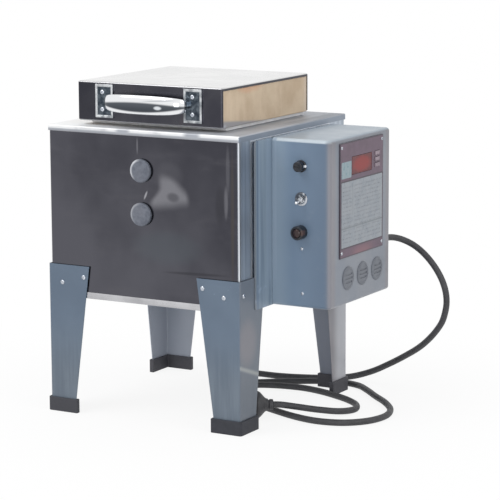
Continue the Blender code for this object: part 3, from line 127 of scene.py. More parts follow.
class Wire:
    # a shader socket that is added, multiplied and divided like a number
    def __init__(self, tree, socket):
        self.tree = tree
        self.socket = socket

    def make(self, kind, settings, sockets, out=0):
        made = self.tree.nodes.new(kind)
        for key, value in settings.items():
            setattr(made, key, value)
        for key, value in sockets.items():
            target = made.inputs[key]
            if isinstance(value, Wire):
                self.tree.links.new(value.socket, target)
            elif target.type == "RGBA":
                target.default_value = (*value, 1)
            else:
                target.default_value = value
        return Wire(self.tree, made.outputs[out])

    def maths(self, operation, first, second=0.0):
        return self.make("ShaderNodeMath", {"operation": operation}, {0: first, 1: second})

    def __add__(self, other):
        return self.maths("ADD", self, other)

    def __sub__(self, other):
        return self.maths("SUBTRACT", self, other)

    def __rsub__(self, other):
        return self.maths("SUBTRACT", other, self)

    def __mul__(self, other):
        return self.maths("MULTIPLY", self, other)

    def __truediv__(self, number):
        return self * (1 / number)

    def __abs__(self):
        return self.maths("ABSOLUTE", self)

    __radd__ = __add__
    __rmul__ = __mul__

    def ease(self, low, high, first=0.0, last=1.0):
        # goes smoothly from first to last while the value goes from low to high
        return self.make(
            "ShaderNodeMapRange", {"interpolation_type": "SMOOTHSTEP"},
            {0: self, 1: low, 2: high, 3: first, 4: last},
        )

    def fade(self, low, high, first=1.0):
        # goes smoothly from first to nothing
        return self.ease(low, high, first, 0.0)

    def band(self, low, high, soft):
        # 1 between low and high, with soft ends
        return self.ease(low - soft, low + soft) * self.fade(high - soft, high + soft)

    def within(self, first, last):
        # spreads a noise over the values from first to last
        return self.ease(noiseLow, noiseHigh, first, last)

    def blend(self, first, second):
        # this value leads from the first colour to the second
        return self.make("ShaderNodeMix", {"data_type": "RGBA"}, {0: self, 6: first, 7: second}, 2)

    def tones(self, dark, light):
        # a noise goes from the dark colour to the light one
        return self.ease(noiseLow, noiseHigh).blend(dark, light)


class Finish:
    # one material on the object's own coordinates
    def __init__(self, name, **values):
        self.material = bpy.data.materials.new(name)
        self.material.use_nodes = True
        self.tree = self.material.node_tree
        self.shader = self.tree.nodes["Principled BSDF"]
        self.place = Wire(self.tree, self.tree.nodes.new("ShaderNodeTexCoord").outputs["Object"])
        self.x, self.y, self.z = (
            self.place.make("ShaderNodeSeparateXYZ", {}, {0: self.place}, i) for i in range(3)
        )
        for key, value in values.items():
            self.shader.inputs[key.replace("_", " ")].default_value = value

    def fromFront(self):
        # the place from the middle of the body's front
        return self.x - kilnMiddle.x, self.y - kilnMiddle.y, self.z

    def put(self, name, wire):
        self.tree.links.new(wire.socket, self.shader.inputs[name])

    def noise(self, scale, detail=2.0, rough=0.5, stretch=(1, 1, 1)):
        spread = self.place.make("ShaderNodeMapping", {}, {"Vector": self.place, "Scale": stretch})
        sockets = {"Vector": spread, "Scale": scale, "Detail": detail, "Roughness": rough}
        return self.place.make("ShaderNodeTexNoise", {}, sockets)

    def cells(self, scale):
        return self.place.make("ShaderNodeTexVoronoi", {}, {"Vector": self.place, "Scale": scale})

    def pits(self):
        # the open pores of a firebrick
        return self.cells(420.0).fade(0.12, 0.30) * self.noise(90.0, 2.0).ease(0.45, 0.6)

    def done(self, base, rough, height, strength, depth):
        # colour, roughness and relief
        self.put("Base Color", base)
        self.put("Roughness", rough)
        sockets = {"Height": height, "Strength": strength, "Distance": depth}
        self.put("Normal", self.place.make("ShaderNodeBump", {}, sockets))
        return self


def layered(base, *layers):
    # lays each colour over the ones before it, as far as its mask says
    for mask, colour in layers:
        base = mask.blend(base, colour)
    return base


def spot(across, along, low, high, much=1.0):
    # a round patch where both values are near nothing
    return (across * across + along * along).fade(low, high, much)


# stage: a wide pale floor that stays white far from the kiln and keeps its shadow close by
stageSet = {
    "floorSize": 60.0,
    "floorDark": (0.92, 0.92, 0.92),
    "floorLight": (0.9384, 0.9384, 0.9384),
    "shadowReach": (0.15, 0.75),
    "nearGlow": 0.86,
    "worldLight": 0.72,
    "aim": (0, 0, 0.3),
    "lamps": {
        "key": ((-1.4, -2.2, 3.4), 2.4, 56.0),
        "fill": ((3.2, -0.6, 2.2), 2.0, 22.0),
        "low": ((1.6, -3.4, 0.5), 1.6, 20.0),
    },
}


def seenRays(tree):
    # 1 for the camera's rays, mirrored ones and those through glass
    rays = tree.nodes.new("ShaderNodeLightPath")
    kinds = [Wire(tree, rays.outputs[f"Is {kind} Ray"]) for kind in ("Camera", "Glossy", "Transmission")]
    return kinds[0] + kinds[1] + kinds[2]


def makeStage():
    s = stageSet
    bpy.ops.object.select_all(action="DESELECT")
    bpy.ops.mesh.primitive_plane_add(size=s["floorSize"])
    floor = bpy.context.active_object
    floor.name = "studioFloor"
    paint = Finish("studio floor", Roughness=0.9, Specular_IOR_Level=0.0)
    paint.put("Base Color", paint.noise(40.0, 2.0).blend(s["floorDark"], s["floorLight"]))
    away = paint.place.make("ShaderNodeVectorMath", {"operation": "LENGTH"}, {0: paint.place}, 1)
    share = seenRays(paint.tree) * away.ease(*s["shadowReach"], s["nearGlow"], 1.0)
    white = paint.tree.nodes.new("ShaderNodeEmission")
    mix = paint.tree.nodes.new("ShaderNodeMixShader")
    ends = (share.socket, paint.shader.outputs[0], white.outputs[0])
    for i, socket in enumerate(ends):
        paint.tree.links.new(socket, mix.inputs[i])
    paint.tree.links.new(mix.outputs[0], paint.tree.nodes["Material Output"].inputs[0])
    floor.data.materials.append(paint.material)

    world = bpy.data.worlds.new("studio")
    bpy.context.scene.world = world
    world.use_nodes = True
    back = world.node_tree.nodes["Background"]
    back.inputs["Color"].default_value = (1, 1, 1, 1)
    strength = seenRays(world.node_tree).ease(0.0, 1.0, s["worldLight"], 1.0)
    world.node_tree.links.new(strength.socket, back.inputs["Strength"])

    for kind, (place, size, power) in s["lamps"].items():
        bpy.ops.object.light_add(type="AREA", location=place)
        lamp = bpy.context.active_object
        lamp.name = kind + "Lamp"
        lamp.data.energy = power
        lamp.data.size = size
        lamp.rotation_mode = "QUATERNION"
        lamp.rotation_quaternion = (Vector(s["aim"]) - lamp.location).to_track_quat("-Z", "Y")


makeStage()
print("stage ready")


# modelling helpers
def clearPick():
    if bpy.context.mode != "OBJECT":
        bpy.ops.object.mode_set(mode="OBJECT")
    bpy.ops.object.select_all(action="DESELECT")


def only(obj):
    clearPick()
    obj.select_set(True)
    bpy.context.view_layer.objects.active = obj
    return obj


def settle(name):
    # names the new object, whose place, turn and size go into the mesh
    obj = only(bpy.context.active_object)
    obj.name = name
    bpy.ops.object.transform_apply(location=True, rotation=True, scale=True)
    return obj


def linked(obj):
    bpy.context.scene.collection.objects.link(obj)
    return obj


def block(name, low, high):
    clearPick()
    low, high = Vector(low), Vector(high)
    bpy.ops.mesh.primitive_cube_add(size=1, location=(low + high) / 2, scale=high - low)
    return settle(name)


def bore(nodeName, axis, wall, radius, reach, shift=0):
    # a round cutter through a wall at a CAD node's middle, along x (0) or y (1)
    clearPick()
    start = middleOf(nodeName)
    start.y += shift
    start[axis] = wall - reach
    end = start.copy()
    end[axis] = wall + reach
    bpy.ops.mesh.primitive_cone_add(
        vertices=48, radius1=radius, radius2=radius, depth=(end - start).length,
        location=(start + end) / 2, rotation=(end - start).to_track_quat("Z", "Y").to_euler(),
    )
    return settle("holeCut")


def shape(obj, kind, test, *steps):
    # picks edges or faces by their place or normal, and works on them in edit mode
    only(obj)
    bpy.ops.object.mode_set(mode="EDIT")
    bpy.ops.mesh.select_mode(type=kind)
    bpy.ops.mesh.select_all(action="DESELECT")
    mesh = bmesh.from_edit_mesh(obj.data)
    for part in {"EDGE": mesh.edges, "FACE": mesh.faces}[kind]:
        part.select_set(bool(test(part)))
    mesh.select_flush_mode()
    bmesh.update_edit_mesh(obj.data)
    for step in steps:
        step()
    bpy.ops.object.mode_set(mode="OBJECT")
    return obj


def bevelled(obj, offset, test, segments=5):
    return shape(obj, "EDGE", test, lambda: bpy.ops.mesh.bevel(offset=offset, segments=segments, affect="EDGES"))


def sunk(obj, test, border, shift):
    # moves the middle of a face and leaves a border
    return shape(
        obj, "FACE", test, lambda: bpy.ops.mesh.inset(thickness=border), lambda: bpy.ops.mesh.extrude_region(),
        lambda: bpy.ops.transform.translate(value=shift),
    )


def change(obj, kind, **settings):
    # adds a modifier and applies it
    only(obj)
    made = obj.modifiers.new(kind.lower(), kind)
    for key, value in settings.items():
        setattr(made, key, value)
    bpy.ops.object.modifier_apply(modifier=made.name)
    return obj


def carve(obj, *cutters):
    for cutter in cutters:
        change(obj, "BOOLEAN", object=cutter, operation="DIFFERENCE", solver="EXACT")
        bpy.data.objects.remove(cutter)
    return obj


def soften(obj, width, segments=3, angle=32):
    # rounds the hard edges and shades the rest smooth
    change(
        obj, "BEVEL", width=width, segments=segments, limit_method="ANGLE",
        angle_limit=math.radians(angle), use_clamp_overlap=True,
    )
    return smooth(obj)


def smooth(obj, angle=40):
    only(obj)
    bpy.ops.object.shade_smooth_by_angle(angle=math.radians(angle))
    return change(obj, "WEIGHTED_NORMAL", keep_sharp=True)


def copied(nodeName, name):
    # a merged copy of a CAD node without its triangles
    clearPick()
    return shape(
        linked(bpy.data.objects.new(name, nodes[nodeName].data.copy())), "FACE", lambda face: True,
        lambda: bpy.ops.mesh.remove_doubles(threshold=0.00001),
        lambda: bpy.ops.mesh.dissolve_limited(angle_limit=math.radians(1)),
        lambda: bpy.ops.mesh.customdata_custom_splitnormals_clear(),
    )


def joined(name, pieces):
    clearPick()
    for piece in pieces:
        piece.select_set(True)
    bpy.context.view_layer.objects.active = pieces[0]
    bpy.ops.object.join()
    pieces[0].name = name
    return pieces[0]


def turnTo(aim):
    return Vector((0, 0, 1)).rotation_difference(Vector(aim)).to_matrix().to_4x4()


def placed(obj, name, place, aim=(0, 0, 1), spin=0):
    # a copy with its own mesh, its +Z along aim
    made = linked(obj.copy())
    made.data = obj.data.copy()
    made.name = name
    made.data.transform(Matrix.Translation(place) @ turnTo(aim) @ Matrix.Rotation(spin, 4, "Z"))
    return made


def finished(obj, finish, stands=(), body=mainBody):
    obj.data.materials.clear()
    obj.data.materials.append(finish.material)
    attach(obj, body)
    if stands:
        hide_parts(*([stands] if isinstance(stands, str) else stands))
    return obj


def kept(nodeName, name, finish, width, segments=2, body=mainBody):
    # a softened copy of a CAD node stands for it
    return finished(soften(copied(nodeName, name), width, segments), finish, nodeName, body)


def dressed(finish, *names):
    # a CAD node keeps its shape and gets a finish
    for name in names:
        nodes[name].data.materials.clear()
        nodes[name].data.materials.append(finish.material)


def foldedSheet(name, low, high, isOpen, radius, sheet, segments=5):
    # a pressed sheet cover: a block without its open sides, its folds rounded, with a wall
    obj = block(name, low, high)
    shape(obj, "FACE", lambda f: isOpen(f.normal), lambda: bpy.ops.mesh.delete(type="FACE"))
    bevelled(obj, radius, lambda e: len(e.link_faces) == 2, segments)
    return change(obj, "SOLIDIFY", thickness=sheet, offset=-1, use_even_offset=True)


# the control box is measured once here, because the painted sheen, shade and highlights on its paint change with its
# sides
boxSet = {
    "low": (0.1799, 0.0960, 0.1915),
    "high": (0.2825, 0.3030, 0.4565),
    "sheet": 0.0012,
    "radius": 0.0055,
    "frontHoles": {"fuse_holder": 0.0066, "toggle_switch": 0.0044, "lamp_bezel": 0.0066},
    "frontReach": 0.004,
    "reach": 0.005,
    "window": 0.003,
    "ventHole": 0.0158,
    "cordHole": 0.0093,
}

# painted reflections and shade on the jacket's polished front, pale streaks, a haze and dark patches: place, reach
# along and across, lean, colour and strength
pale, dim = (0.200, 0.200, 0.222), (0.046, 0.046, 0.054)
jacketReflections = (
    (0.045, 0.285, 0.070, 0.030, 0.0, (0.096, 0.108, 0.124), 0.5),
    (0.0500, 0.4000, 0.0280, 0.0240, 0.0, pale, 0.15),
    (0.0572, 0.3660, 0.0130, 0.0085, -0.1, (0.090, 0.090, 0.104), 0.75),
    (0.1525, 0.3640, 0.0042, 0.0280, 0.0, pale, 0.55),
    (0.1560, 0.4150, 0.0040, 0.0420, 0.0, pale, 0.30),
    (0.0068, 0.3660, 0.0085, 0.0020, 1.15, (0.400, 0.400, 0.430), 0.8),
    (-0.0078, 0.4430, 0.0018, 0.0150, 0.0, pale, 0.65),
    (0.1640, 0.3400, 0.0035, 0.1200, 0.0, (0.078, 0.072, 0.070), 0.8),
    (0.0980, 0.2485, 0.0640, 0.0028, 0.03, dim, 0.60),
    (0.1420, 0.3600, 0.0100, 0.0350, 0.0, dim, 0.5),
)


# finishes
def bluePaint():
    # the box's side and the fold before it are greyer than its front as painted sheen, its top is paler as painted
    # light, and its front is painted lighter to the left and darker to the right
    finish = Finish("blue grey paint", IOR=1.5)
    x, y, z = finish.fromFront()
    (left, front, _), (right, back, top) = boxSet["low"], boxSet["high"]
    # painted sheen on the side: greyer at its front and back folds and darker towards its top
    edge = y.fade(front + 0.012, front + 0.022) + y.ease(back - 0.020, back - 0.012)
    sideSheen = layered(
        finish.noise(14.0, 3.0, 0.6, (1.0, 1.0, 0.4)).tones((0.200, 0.225, 0.270), (0.232, 0.250, 0.285)),
        (edge * 0.7, (0.225, 0.215, 0.235)),
        (z.ease(0.43, top) * 0.35, (0.150, 0.150, 0.170)),
    )
    # painted highlight along the top's front edge, stronger to the left
    topEdgeHighlight = z.band(top - 0.0048, top + 0.001, 0.0008) * y.fade(front + 0.004, front + 0.009)
    # a pale upright streak of painted highlight along the fold beside the shield, which fades low down
    fold = x.band(left - 0.002, left + 0.0078, 0.0014) * y.fade(front + 0.002, front + 0.008)
    streak = finish.noise(90.0, 3.0, 0.6, (3.0, 0.1, 0.12)).ease(0.3, 0.75, 0.5, 1.0)
    base = layered(
        finish.noise(9.0, 3.0).tones((0.155, 0.222, 0.315), (0.178, 0.250, 0.345)),
        # painted light over the paint: darker to the right, lighter by the left fold, the side's painted sheen, a paler
        # top and the painted highlights
        (x.ease(left + 0.02, right), (0.108, 0.158, 0.230)),
        (x.fade(left + 0.006, left + 0.040), (0.250, 0.325, 0.410)),
        (x.ease(right - 0.0110, right - 0.0004), sideSheen),
        (z.ease(top - 0.004, top - 0.0008), (0.310, 0.365, 0.420)),
        (topEdgeHighlight * x.ease(right - 0.012, right - 0.004, 0.8, 0.2), (0.520, 0.590, 0.640)),
        (fold * z.ease(0.20, 0.27) * streak, (0.285, 0.360, 0.450)),
        (finish.noise(30.0, 5.0, 0.65).ease(0.58, 0.75) * 0.10, (0.32, 0.35, 0.38)),
    )
    return finish.done(base, finish.noise(25.0, 4.0).within(0.30, 0.42), finish.noise(700.0, 2.0), 0.12, 0.0003)


def legPaint():
    # duller than the box, greyer and rubbed near the boots, greyer on the right-facing flange as painted sheen, and
    # paler at the back as painted light
    finish = Finish("leg paint", IOR=1.5)
    x, y, z = finish.fromFront()
    cloud = finish.noise(12.0, 3.0)
    streak = finish.noise(110.0, 3.0, 0.6, (1.0, 1.0, 0.08))
    flank = x.ease(0.1765, 0.1775) * y.fade(0.2, 0.25)
    patch = spot((y - 0.0200) / 0.034, (z - 0.143) / 0.045, 0.1, 1.1)
    slant = (z - 0.098 + (y - 0.024) * 0.35).band(-0.003, 0.003, 0.003)
    # painted light on the back legs: both paler, the left one most, and the right one's outer face paler towards the
    # back
    inner = x.ease(-0.05, 0.1).blend((0.400, 0.435, 0.505), (0.240, 0.262, 0.320))
    outer = y.ease(0.300, 0.328).blend((0.250, 0.230, 0.240), (0.500, 0.505, 0.535))
    rear = (x.ease(0.176, 0.178) * 0.9).blend(inner, outer)
    speck = finish.noise(260.0, 3.0, 0.7).ease(0.66, 0.76) * z.ease(0.18, 0.22)
    base = layered(
        cloud.tones((0.092, 0.130, 0.184), (0.110, 0.152, 0.210)),
        (z.fade(0.05, 0.17, 0.6), streak.tones((0.110, 0.134, 0.162), (0.170, 0.200, 0.232))),
        # painted sheen: the right-facing flange of the front right leg is greyer
        (flank * 0.7, (0.142, 0.158, 0.186)),
        (patch * flank * 0.35, (0.300, 0.262, 0.270)),
        (slant * flank * 0.6, (0.400, 0.420, 0.410)),
        (y.ease(0.24, 0.28) * cloud.ease(0.2, 0.8, 0.75, 1.0), rear),
        (speck * 0.5, (0.260, 0.330, 0.440)),
    )
    return finish.done(base, cloud.within(0.30, 0.42), finish.noise(700.0, 2.0), 0.12, 0.0003)


def shieldPaint():
    # the shield's edge beside the body: upright pale and dark streaks, and two pale upright lines of painted reflection
    finish = Finish("shield paint", IOR=1.5)
    _, y, z = finish.fromFront()
    streak = finish.noise(60.0, 3.0, 0.6, (1.0, 3.0, 0.10))
    # two pale upright lines of painted reflection
    ridge = y.band(0.052, 0.058, 0.004) + y.band(0.078, 0.094, 0.004)
    smear = finish.noise(70.0, 5.0, 0.7).ease(0.52, 0.72)
    base = layered(
        streak.tones((0.150, 0.205, 0.270), (0.225, 0.290, 0.360)),
        (ridge * z.ease(0.20, 0.27) * 0.6, (0.260, 0.335, 0.430)),
        (y.fade(0.0440, 0.0475, 0.8), (0.165, 0.180, 0.200)),
        (y.band(0.0480, 0.0530, 0.0014) * 0.7, (0.095, 0.135, 0.205)),
        (smear * z.fade(0.225, 0.245, 0.5), (0.300, 0.380, 0.520)),
    )
    return finish.done(base, streak.within(0.32, 0.45), finish.noise(600.0, 2.0), 0.12, 0.0003)


def polishedSheet():
    finish = Finish("polished sheet", Metallic=1.0)
    x, y, z = finish.fromFront()
    front = y.fade(0.0008, 0.006)
    cloud = finish.noise(11.0, 3.0, 0.55, (1.0, 1.0, 0.8))
    # painted reflection: the front darker towards the upper right
    tone = (x * 1.4 + (z - 0.33) * 1.6 + (cloud - 0.5) * 0.9).ease(-0.35, 0.42)
    smear = finish.noise(24.0, 5.0, 0.65, (0.4, 1.0, 1.3)).ease(0.50, 0.72) * 0.30
    # a three-cornered painted reflection beside the plugs
    right = ((x - 0.0665) * 0.659 + (z - 0.3820) * 0.751).fade(-0.0050, 0.0110)
    left = (x + z.fade(0.3520, 0.3800, 0.0170)).ease(0.0270, 0.0400)
    foot = (z - x * 0.12 + (cloud - 0.5) * 0.02).ease(0.3360, 0.3570)
    reflectionBlob = right * left * foot * z.fade(0.3880, 0.4060) * x.fade(0.0780, 0.0900) * front
    base = layered(
        tone.blend((0.102, 0.102, 0.119), (0.054, 0.054, 0.066)),
        (smear, (0.118, 0.116, 0.132)),
        (reflectionBlob * cloud.within(0.80, 0.95), (0.222, 0.222, 0.245)),
    )
    # the painted reflections and shade from the table above, laid on the front
    for placeX, placeZ, along, across, lean, colour, much in jacketReflections:
        dx, dz = x - placeX, z - placeZ
        first = (dx * math.cos(lean) + dz * math.sin(lean)) / along
        second = (dz * math.cos(lean) - dx * math.sin(lean)) / across
        base = (spot(first, second, 0.1, 1.2, much) * front).blend(base, colour)
    side = x.ease(0.1722, 0.1738)
    # the right side: pale blue-grey, darker near the front, and painted near white behind the shield's edge as painted
    # light in the shaded gap there
    sideTone = layered(
        finish.noise(130.0, 2.0, 0.5, (0.05, 1.0, 0.03)).tones((0.350, 0.400, 0.465), (0.500, 0.555, 0.620)),
        (y.fade(0.004, 0.016, 0.5), (0.280, 0.300, 0.330)),
        (y.ease(0.034, 0.041) * y.fade(0.29, 0.30), (0.90, 0.94, 1.00)),
    )
    # painted highlight: a thin bright line on the rounded corner, within a mid-grey band along the bend
    bend = side * y.fade(0.0040, 0.0060)
    corner = bend * y.ease(0.0008, 0.0016) * y.fade(0.0023, 0.0032)
    base = layered(base, (side, sideTone), (bend, (0.210, 0.228, 0.252)), (corner, (0.86, 0.89, 0.93)))
    rough = cloud.ease(0.25, 0.75, 0.16, 0.27) + side * 0.22
    return finish.done(base, rough, finish.noise(900.0, 2.0, 0.5, (0.02, 0.02, 1.0)), 0.05, 0.0002)


def trayFinish():
    finish = Finish("tray sheet", Metallic=1.0)
    cloud = finish.noise(14.0, 4.0, 0.6)
    brushed = finish.noise(420.0, 2.0, 0.5, (0.02, 0.02, 1.0))
    base = (cloud * 0.7 + brushed * 0.3).tones((0.42, 0.42, 0.44), (0.62, 0.62, 0.64))
    return finish.done(base, cloud.within(0.2, 0.32), brushed, 0.06, 0.0002)


def capFinish():
    # satin on top, paler to the left and front and darker to the right as painted reflection, with broken painted
    # highlights along the front fold
    finish = Finish("cap sheet", Metallic=1.0)
    low, high = span("top_cap")
    x, y, z = finish.fromFront()
    cloud = finish.noise(14.0, 4.0, 0.6)
    brushed = finish.noise(300.0, 2.0, 0.5, (0.02, 0.02, 1.0))
    upper = z.ease(high.z - 0.0020, high.z - 0.0006)
    rays = finish.noise(40.0, 3.0, 0.6, (3.0, 0.12, 1.0)).ease(0.45, 0.65)
    fore = y.fade(0.0012, 0.0030)
    streak = x.fade(-0.052, -0.040) + x.band(-0.022, 0.079, 0.006) + x.ease(0.100, 0.112)
    streak = streak * cloud.ease(0.3, 0.5, 0.5, 1.0) * z.ease(high.z - 0.0065, high.z - 0.0040)
    base = layered(
        (cloud * 0.7 + brushed * 0.3).tones((0.36, 0.38, 0.42), (0.47, 0.49, 0.53)),
        # painted reflections on the top: paler to the left, darker rays and a darker back to the right
        (upper * x.fade(-0.16, 0.10), (0.90, 0.91, 0.92)),
        (upper * x.ease(0.11, 0.13) * rays * 0.6, (0.22, 0.24, 0.27)),
        (upper * x.ease(0.14, 0.172) * y.ease(0.16, 0.33) * 0.6, (0.24, 0.26, 0.30)),
        # painted highlights broken along the front fold, painted shade along the lip's foot, and a bluer right lip as
        # painted reflection
        (fore * streak, (0.84, 0.85, 0.86)),
        (fore * z.fade(low.z + 0.0010, low.z + 0.0026) * 0.5, (0.30, 0.30, 0.32)),
        (x.ease(0.1745, 0.1765) * (1.0 - upper), (0.30, 0.34, 0.40)),
    )
    finish.put("Metallic", upper.ease(0.0, 1.0, 1.0, 0.25))
    return finish.done(base, cloud.within(0.42, 0.55), brushed, 0.06, 0.0002)


def lidSheet():
    # painted reflections on one sheet: bright on top with painted shade towards the front fold, dark and mirror-like on
    # the skirt, darker to the left and with faint reddish streaks
    finish = Finish("lid sheet", Metallic=1.0)
    x, y, z = finish.fromFront()
    top = span("lid_cover")[1].z
    cloud = finish.noise(16.0, 3.0, 0.6)
    streak = finish.noise(60.0, 3.0, 0.5, (1.0, 1.0, 0.08)).ease(0.62, 0.8) * 0.35
    # the skirt's painted reflection: dark, darker to the left, with faint reddish streaks
    skirt = layered(
        cloud.tones((0.052, 0.052, 0.064), (0.078, 0.078, 0.090)),
        (x.fade(-0.13, -0.03, 0.7), (0.034, 0.034, 0.044)),
        (streak, (0.16, 0.12, 0.12)),
    )
    # the top's painted reflection, greyer towards the front fold as painted shade
    plate = (y.fade(0.022, 0.040) * 0.5).blend((0.75, 0.75, 0.75), (0.46, 0.46, 0.48))
    base = z.ease(top - 0.0022, top - 0.0008).blend(skirt, plate)
    return finish.done(base, cloud.within(0.18, 0.30), finish.noise(500.0, 2.0, 0.5, (0.02, 1.0, 1.0)), 0.05, 0.0002)


def chamberBrick():
    finish = Finish("chamber brick", IOR=1.3)
    cloud, pit = finish.noise(24.0, 5.0, 0.6), finish.pits()
    stain = finish.noise(34.0, 3.0, 0.5, (1.0, 1.0, 2.2)).ease(0.60, 0.74) * 0.45
    base = layered(
        cloud.tones((0.56, 0.45, 0.34), (0.66, 0.55, 0.43)),
        (stain, (0.56, 0.33, 0.22)), (pit * 0.55, (0.30, 0.21, 0.14)),
    )
    height = finish.noise(520.0, 4.0, 0.7) * 0.5 - pit * 0.8 - finish.cells(150.0).fade(0.05, 0.16, 0.4)
    return finish.done(base, cloud.ease(0.2, 0.8, 0.88, 1.0), height, 0.7, 0.0006)


def lidBrick():
    # the lid's brick: upright rub marks, a burnt stain by the hem, and a grey foot that tapers to the back
    finish = Finish("lid brick", IOR=1.3)
    low, high = span("lid_brick")
    half = (high.x - low.x) / 2
    y, z = finish.y - low.y, finish.z
    cloud, pit = finish.noise(22.0, 4.0, 0.55), finish.pits()
    marks = finish.noise(60.0, 3.0, 0.6, (1.0, 1.0, 0.15)).ease(0.5, 0.75) * 0.30
    burnY, burnZ = (y - 0.090) / 0.046, (z - high.z + 0.003) / 0.013
    burn = (burnY * burnY + burnZ * burnZ + (cloud - 0.5) * 1.4).fade(-0.1, 1.1)
    # the wedge and the pale end are on the sides alone, and a grey line under the front
    wedge = ((z - low.z) / 0.0125 + y / 0.150).fade(0.70, 1.10)
    flank = abs(finish.x - (low.x + high.x) / 2).ease(half - 0.0012, half - 0.0004)
    line = y.fade(0.008, 0.016) * z.fade(low.z + 0.004, low.z + 0.006)
    rear = (y / (high.y - low.y)).ease(0.94, 0.985)
    base = layered(
        cloud.tones((0.530, 0.410, 0.290), (0.630, 0.510, 0.375)),
        (marks, (0.720, 0.590, 0.450)),
        (burn * 0.60, (0.640, 0.340, 0.210)),
        (wedge * flank * 0.9, (0.300, 0.305, 0.330)),
        (line * 0.95, (0.420, 0.430, 0.460)),
        (flank * rear * 0.35, (0.780, 0.700, 0.620)),
        (pit * 0.30, (0.340, 0.250, 0.170)),
    )
    height = finish.noise(520.0, 4.0, 0.7) * 0.5 - pit * 0.6
    return finish.done(base, cloud.ease(0.2, 0.8, 0.88, 1.0), height, 0.5, 0.0005)


def plain(name, dark, light, rough=(0.4, 0.6), metal=0.0, scale=60.0, bumpScale=800.0, bump=0.15, depth=0.0002):
    # an even finish with a little drift in tone and sheen, and a fine grain
    finish = Finish(name, Metallic=metal)
    cloud = finish.noise(scale, 4.0, 0.6)
    grain = finish.noise(bumpScale, 3.0, 0.6)
    return finish.done(cloud.tones(dark, light), cloud.within(*rough), grain, bump, depth)


def bootFinish():
    # painted light: the back boots, where the light comes through, are painted lighter than the front ones, and the
    # left ones lighter than the right
    finish = Finish("boot rubber")
    x, y, _ = finish.fromFront()
    cloud = finish.noise(90.0, 4.0, 0.6)
    base = layered(
        cloud.tones((0.016, 0.018, 0.026), (0.032, 0.034, 0.044)),
        # painted light: lighter on the left boots and on the back ones
        (x.fade(-0.12, 0.12, 0.5), (0.062, 0.062, 0.072)),
        (y.ease(0.1, 0.25), cloud.tones((0.048, 0.048, 0.058), (0.074, 0.074, 0.086))),
    )
    return finish.done(base, cloud.within(0.55, 0.75), finish.noise(800.0, 3.0, 0.6), 0.3, 0.0002)


def plugCeramic():
    # painted shade darkens each disc to the lower right, and a painted highlight lies in a crescent along the upper
    # left of its rim
    finish = Finish("plug ceramic", IOR=1.45)
    (lowA, highA), (lowB, highB) = span("peep_plug_lower"), span("peep_plug_upper")
    half = (lowB.z + highB.z - lowA.z - highA.z) / 4
    radius = (highA.z - lowA.z) / 2
    z = finish.z - (lowA.z + highA.z + lowB.z + highB.z) / 4
    across = (finish.x - (lowA.x + highA.x) / 2) / radius
    upward = (z - z.ease(-0.001, 0.001, -half, half)) / radius
    speck, turn = finish.noise(170.0, 4.0, 0.65), finish.noise(40.0, 2.0)
    rim = (across * across + upward * upward).ease(0.56, 0.76)
    rimHighlight = rim * (upward * 0.3 - across).ease(0.15, 0.9) * turn.ease(0.35, 0.6, 0.6, 1.0)
    base = layered(
        speck.tones((0.084, 0.096, 0.124), (0.150, 0.164, 0.200)),
        (turn.ease(0.4, 0.7) * 0.4, (0.175, 0.184, 0.215)),
        # the painted highlight on the rim, stronger on the upper plug, and painted shade to the lower right
        (rimHighlight * z.ease(-0.001, 0.001, 0.35, 0.95), (0.620, 0.635, 0.670)),
        ((across - upward).ease(0.3, 1.3) * 0.35, (0.085, 0.092, 0.115)),
    )
    return finish.done(base, speck.within(0.55, 0.72), speck, 0.35, 0.0003)


paint = bluePaint()
shield = shieldPaint()
legCoat = legPaint()
darkSheet = polishedSheet()
capSheet = capFinish()
traySheet = trayFinish()
lidSkin = lidSheet()
brick = lidBrick()
hotBrick = chamberBrick()
bootRubber = bootFinish()
ceramic = plugCeramic()
fibre = plain(
    "seat fibre", (0.78, 0.79, 0.81), (0.90, 0.91, 0.93), (0.9, 1.0), bumpScale=1500.0, bump=0.6, depth=0.0006,
)
rubber = plain("black rubber", (0.032, 0.032, 0.036), (0.056, 0.056, 0.062), (0.45, 0.62), bumpScale=900.0, bump=0.25)
chrome = plain("chrome", (0.70, 0.71, 0.73), (0.82, 0.83, 0.85), (0.05, 0.11), 1.0, bump=0.02)
bright = plain("bright screw", (0.34, 0.37, 0.42), (0.72, 0.75, 0.80), (0.18, 0.30), 1.0, scale=500.0, bump=0.1)
zinc = plain("zinc plate", (0.36, 0.36, 0.37), (0.50, 0.50, 0.50), (0.32, 0.48), 1.0, scale=140.0, bump=0.1)
porcelain = plain("porcelain", (0.74, 0.72, 0.67), (0.82, 0.80, 0.76), (0.2, 0.35), bump=0.05)
resistance = plain("resistance wire", (0.14, 0.12, 0.11), (0.24, 0.20, 0.18), (0.45, 0.65), 0.8, bump=0.3)
blackPlastic = plain("black plastic", (0.012, 0.012, 0.014), (0.022, 0.022, 0.024), (0.25, 0.4), bump=0.08)
print("finishes ready")

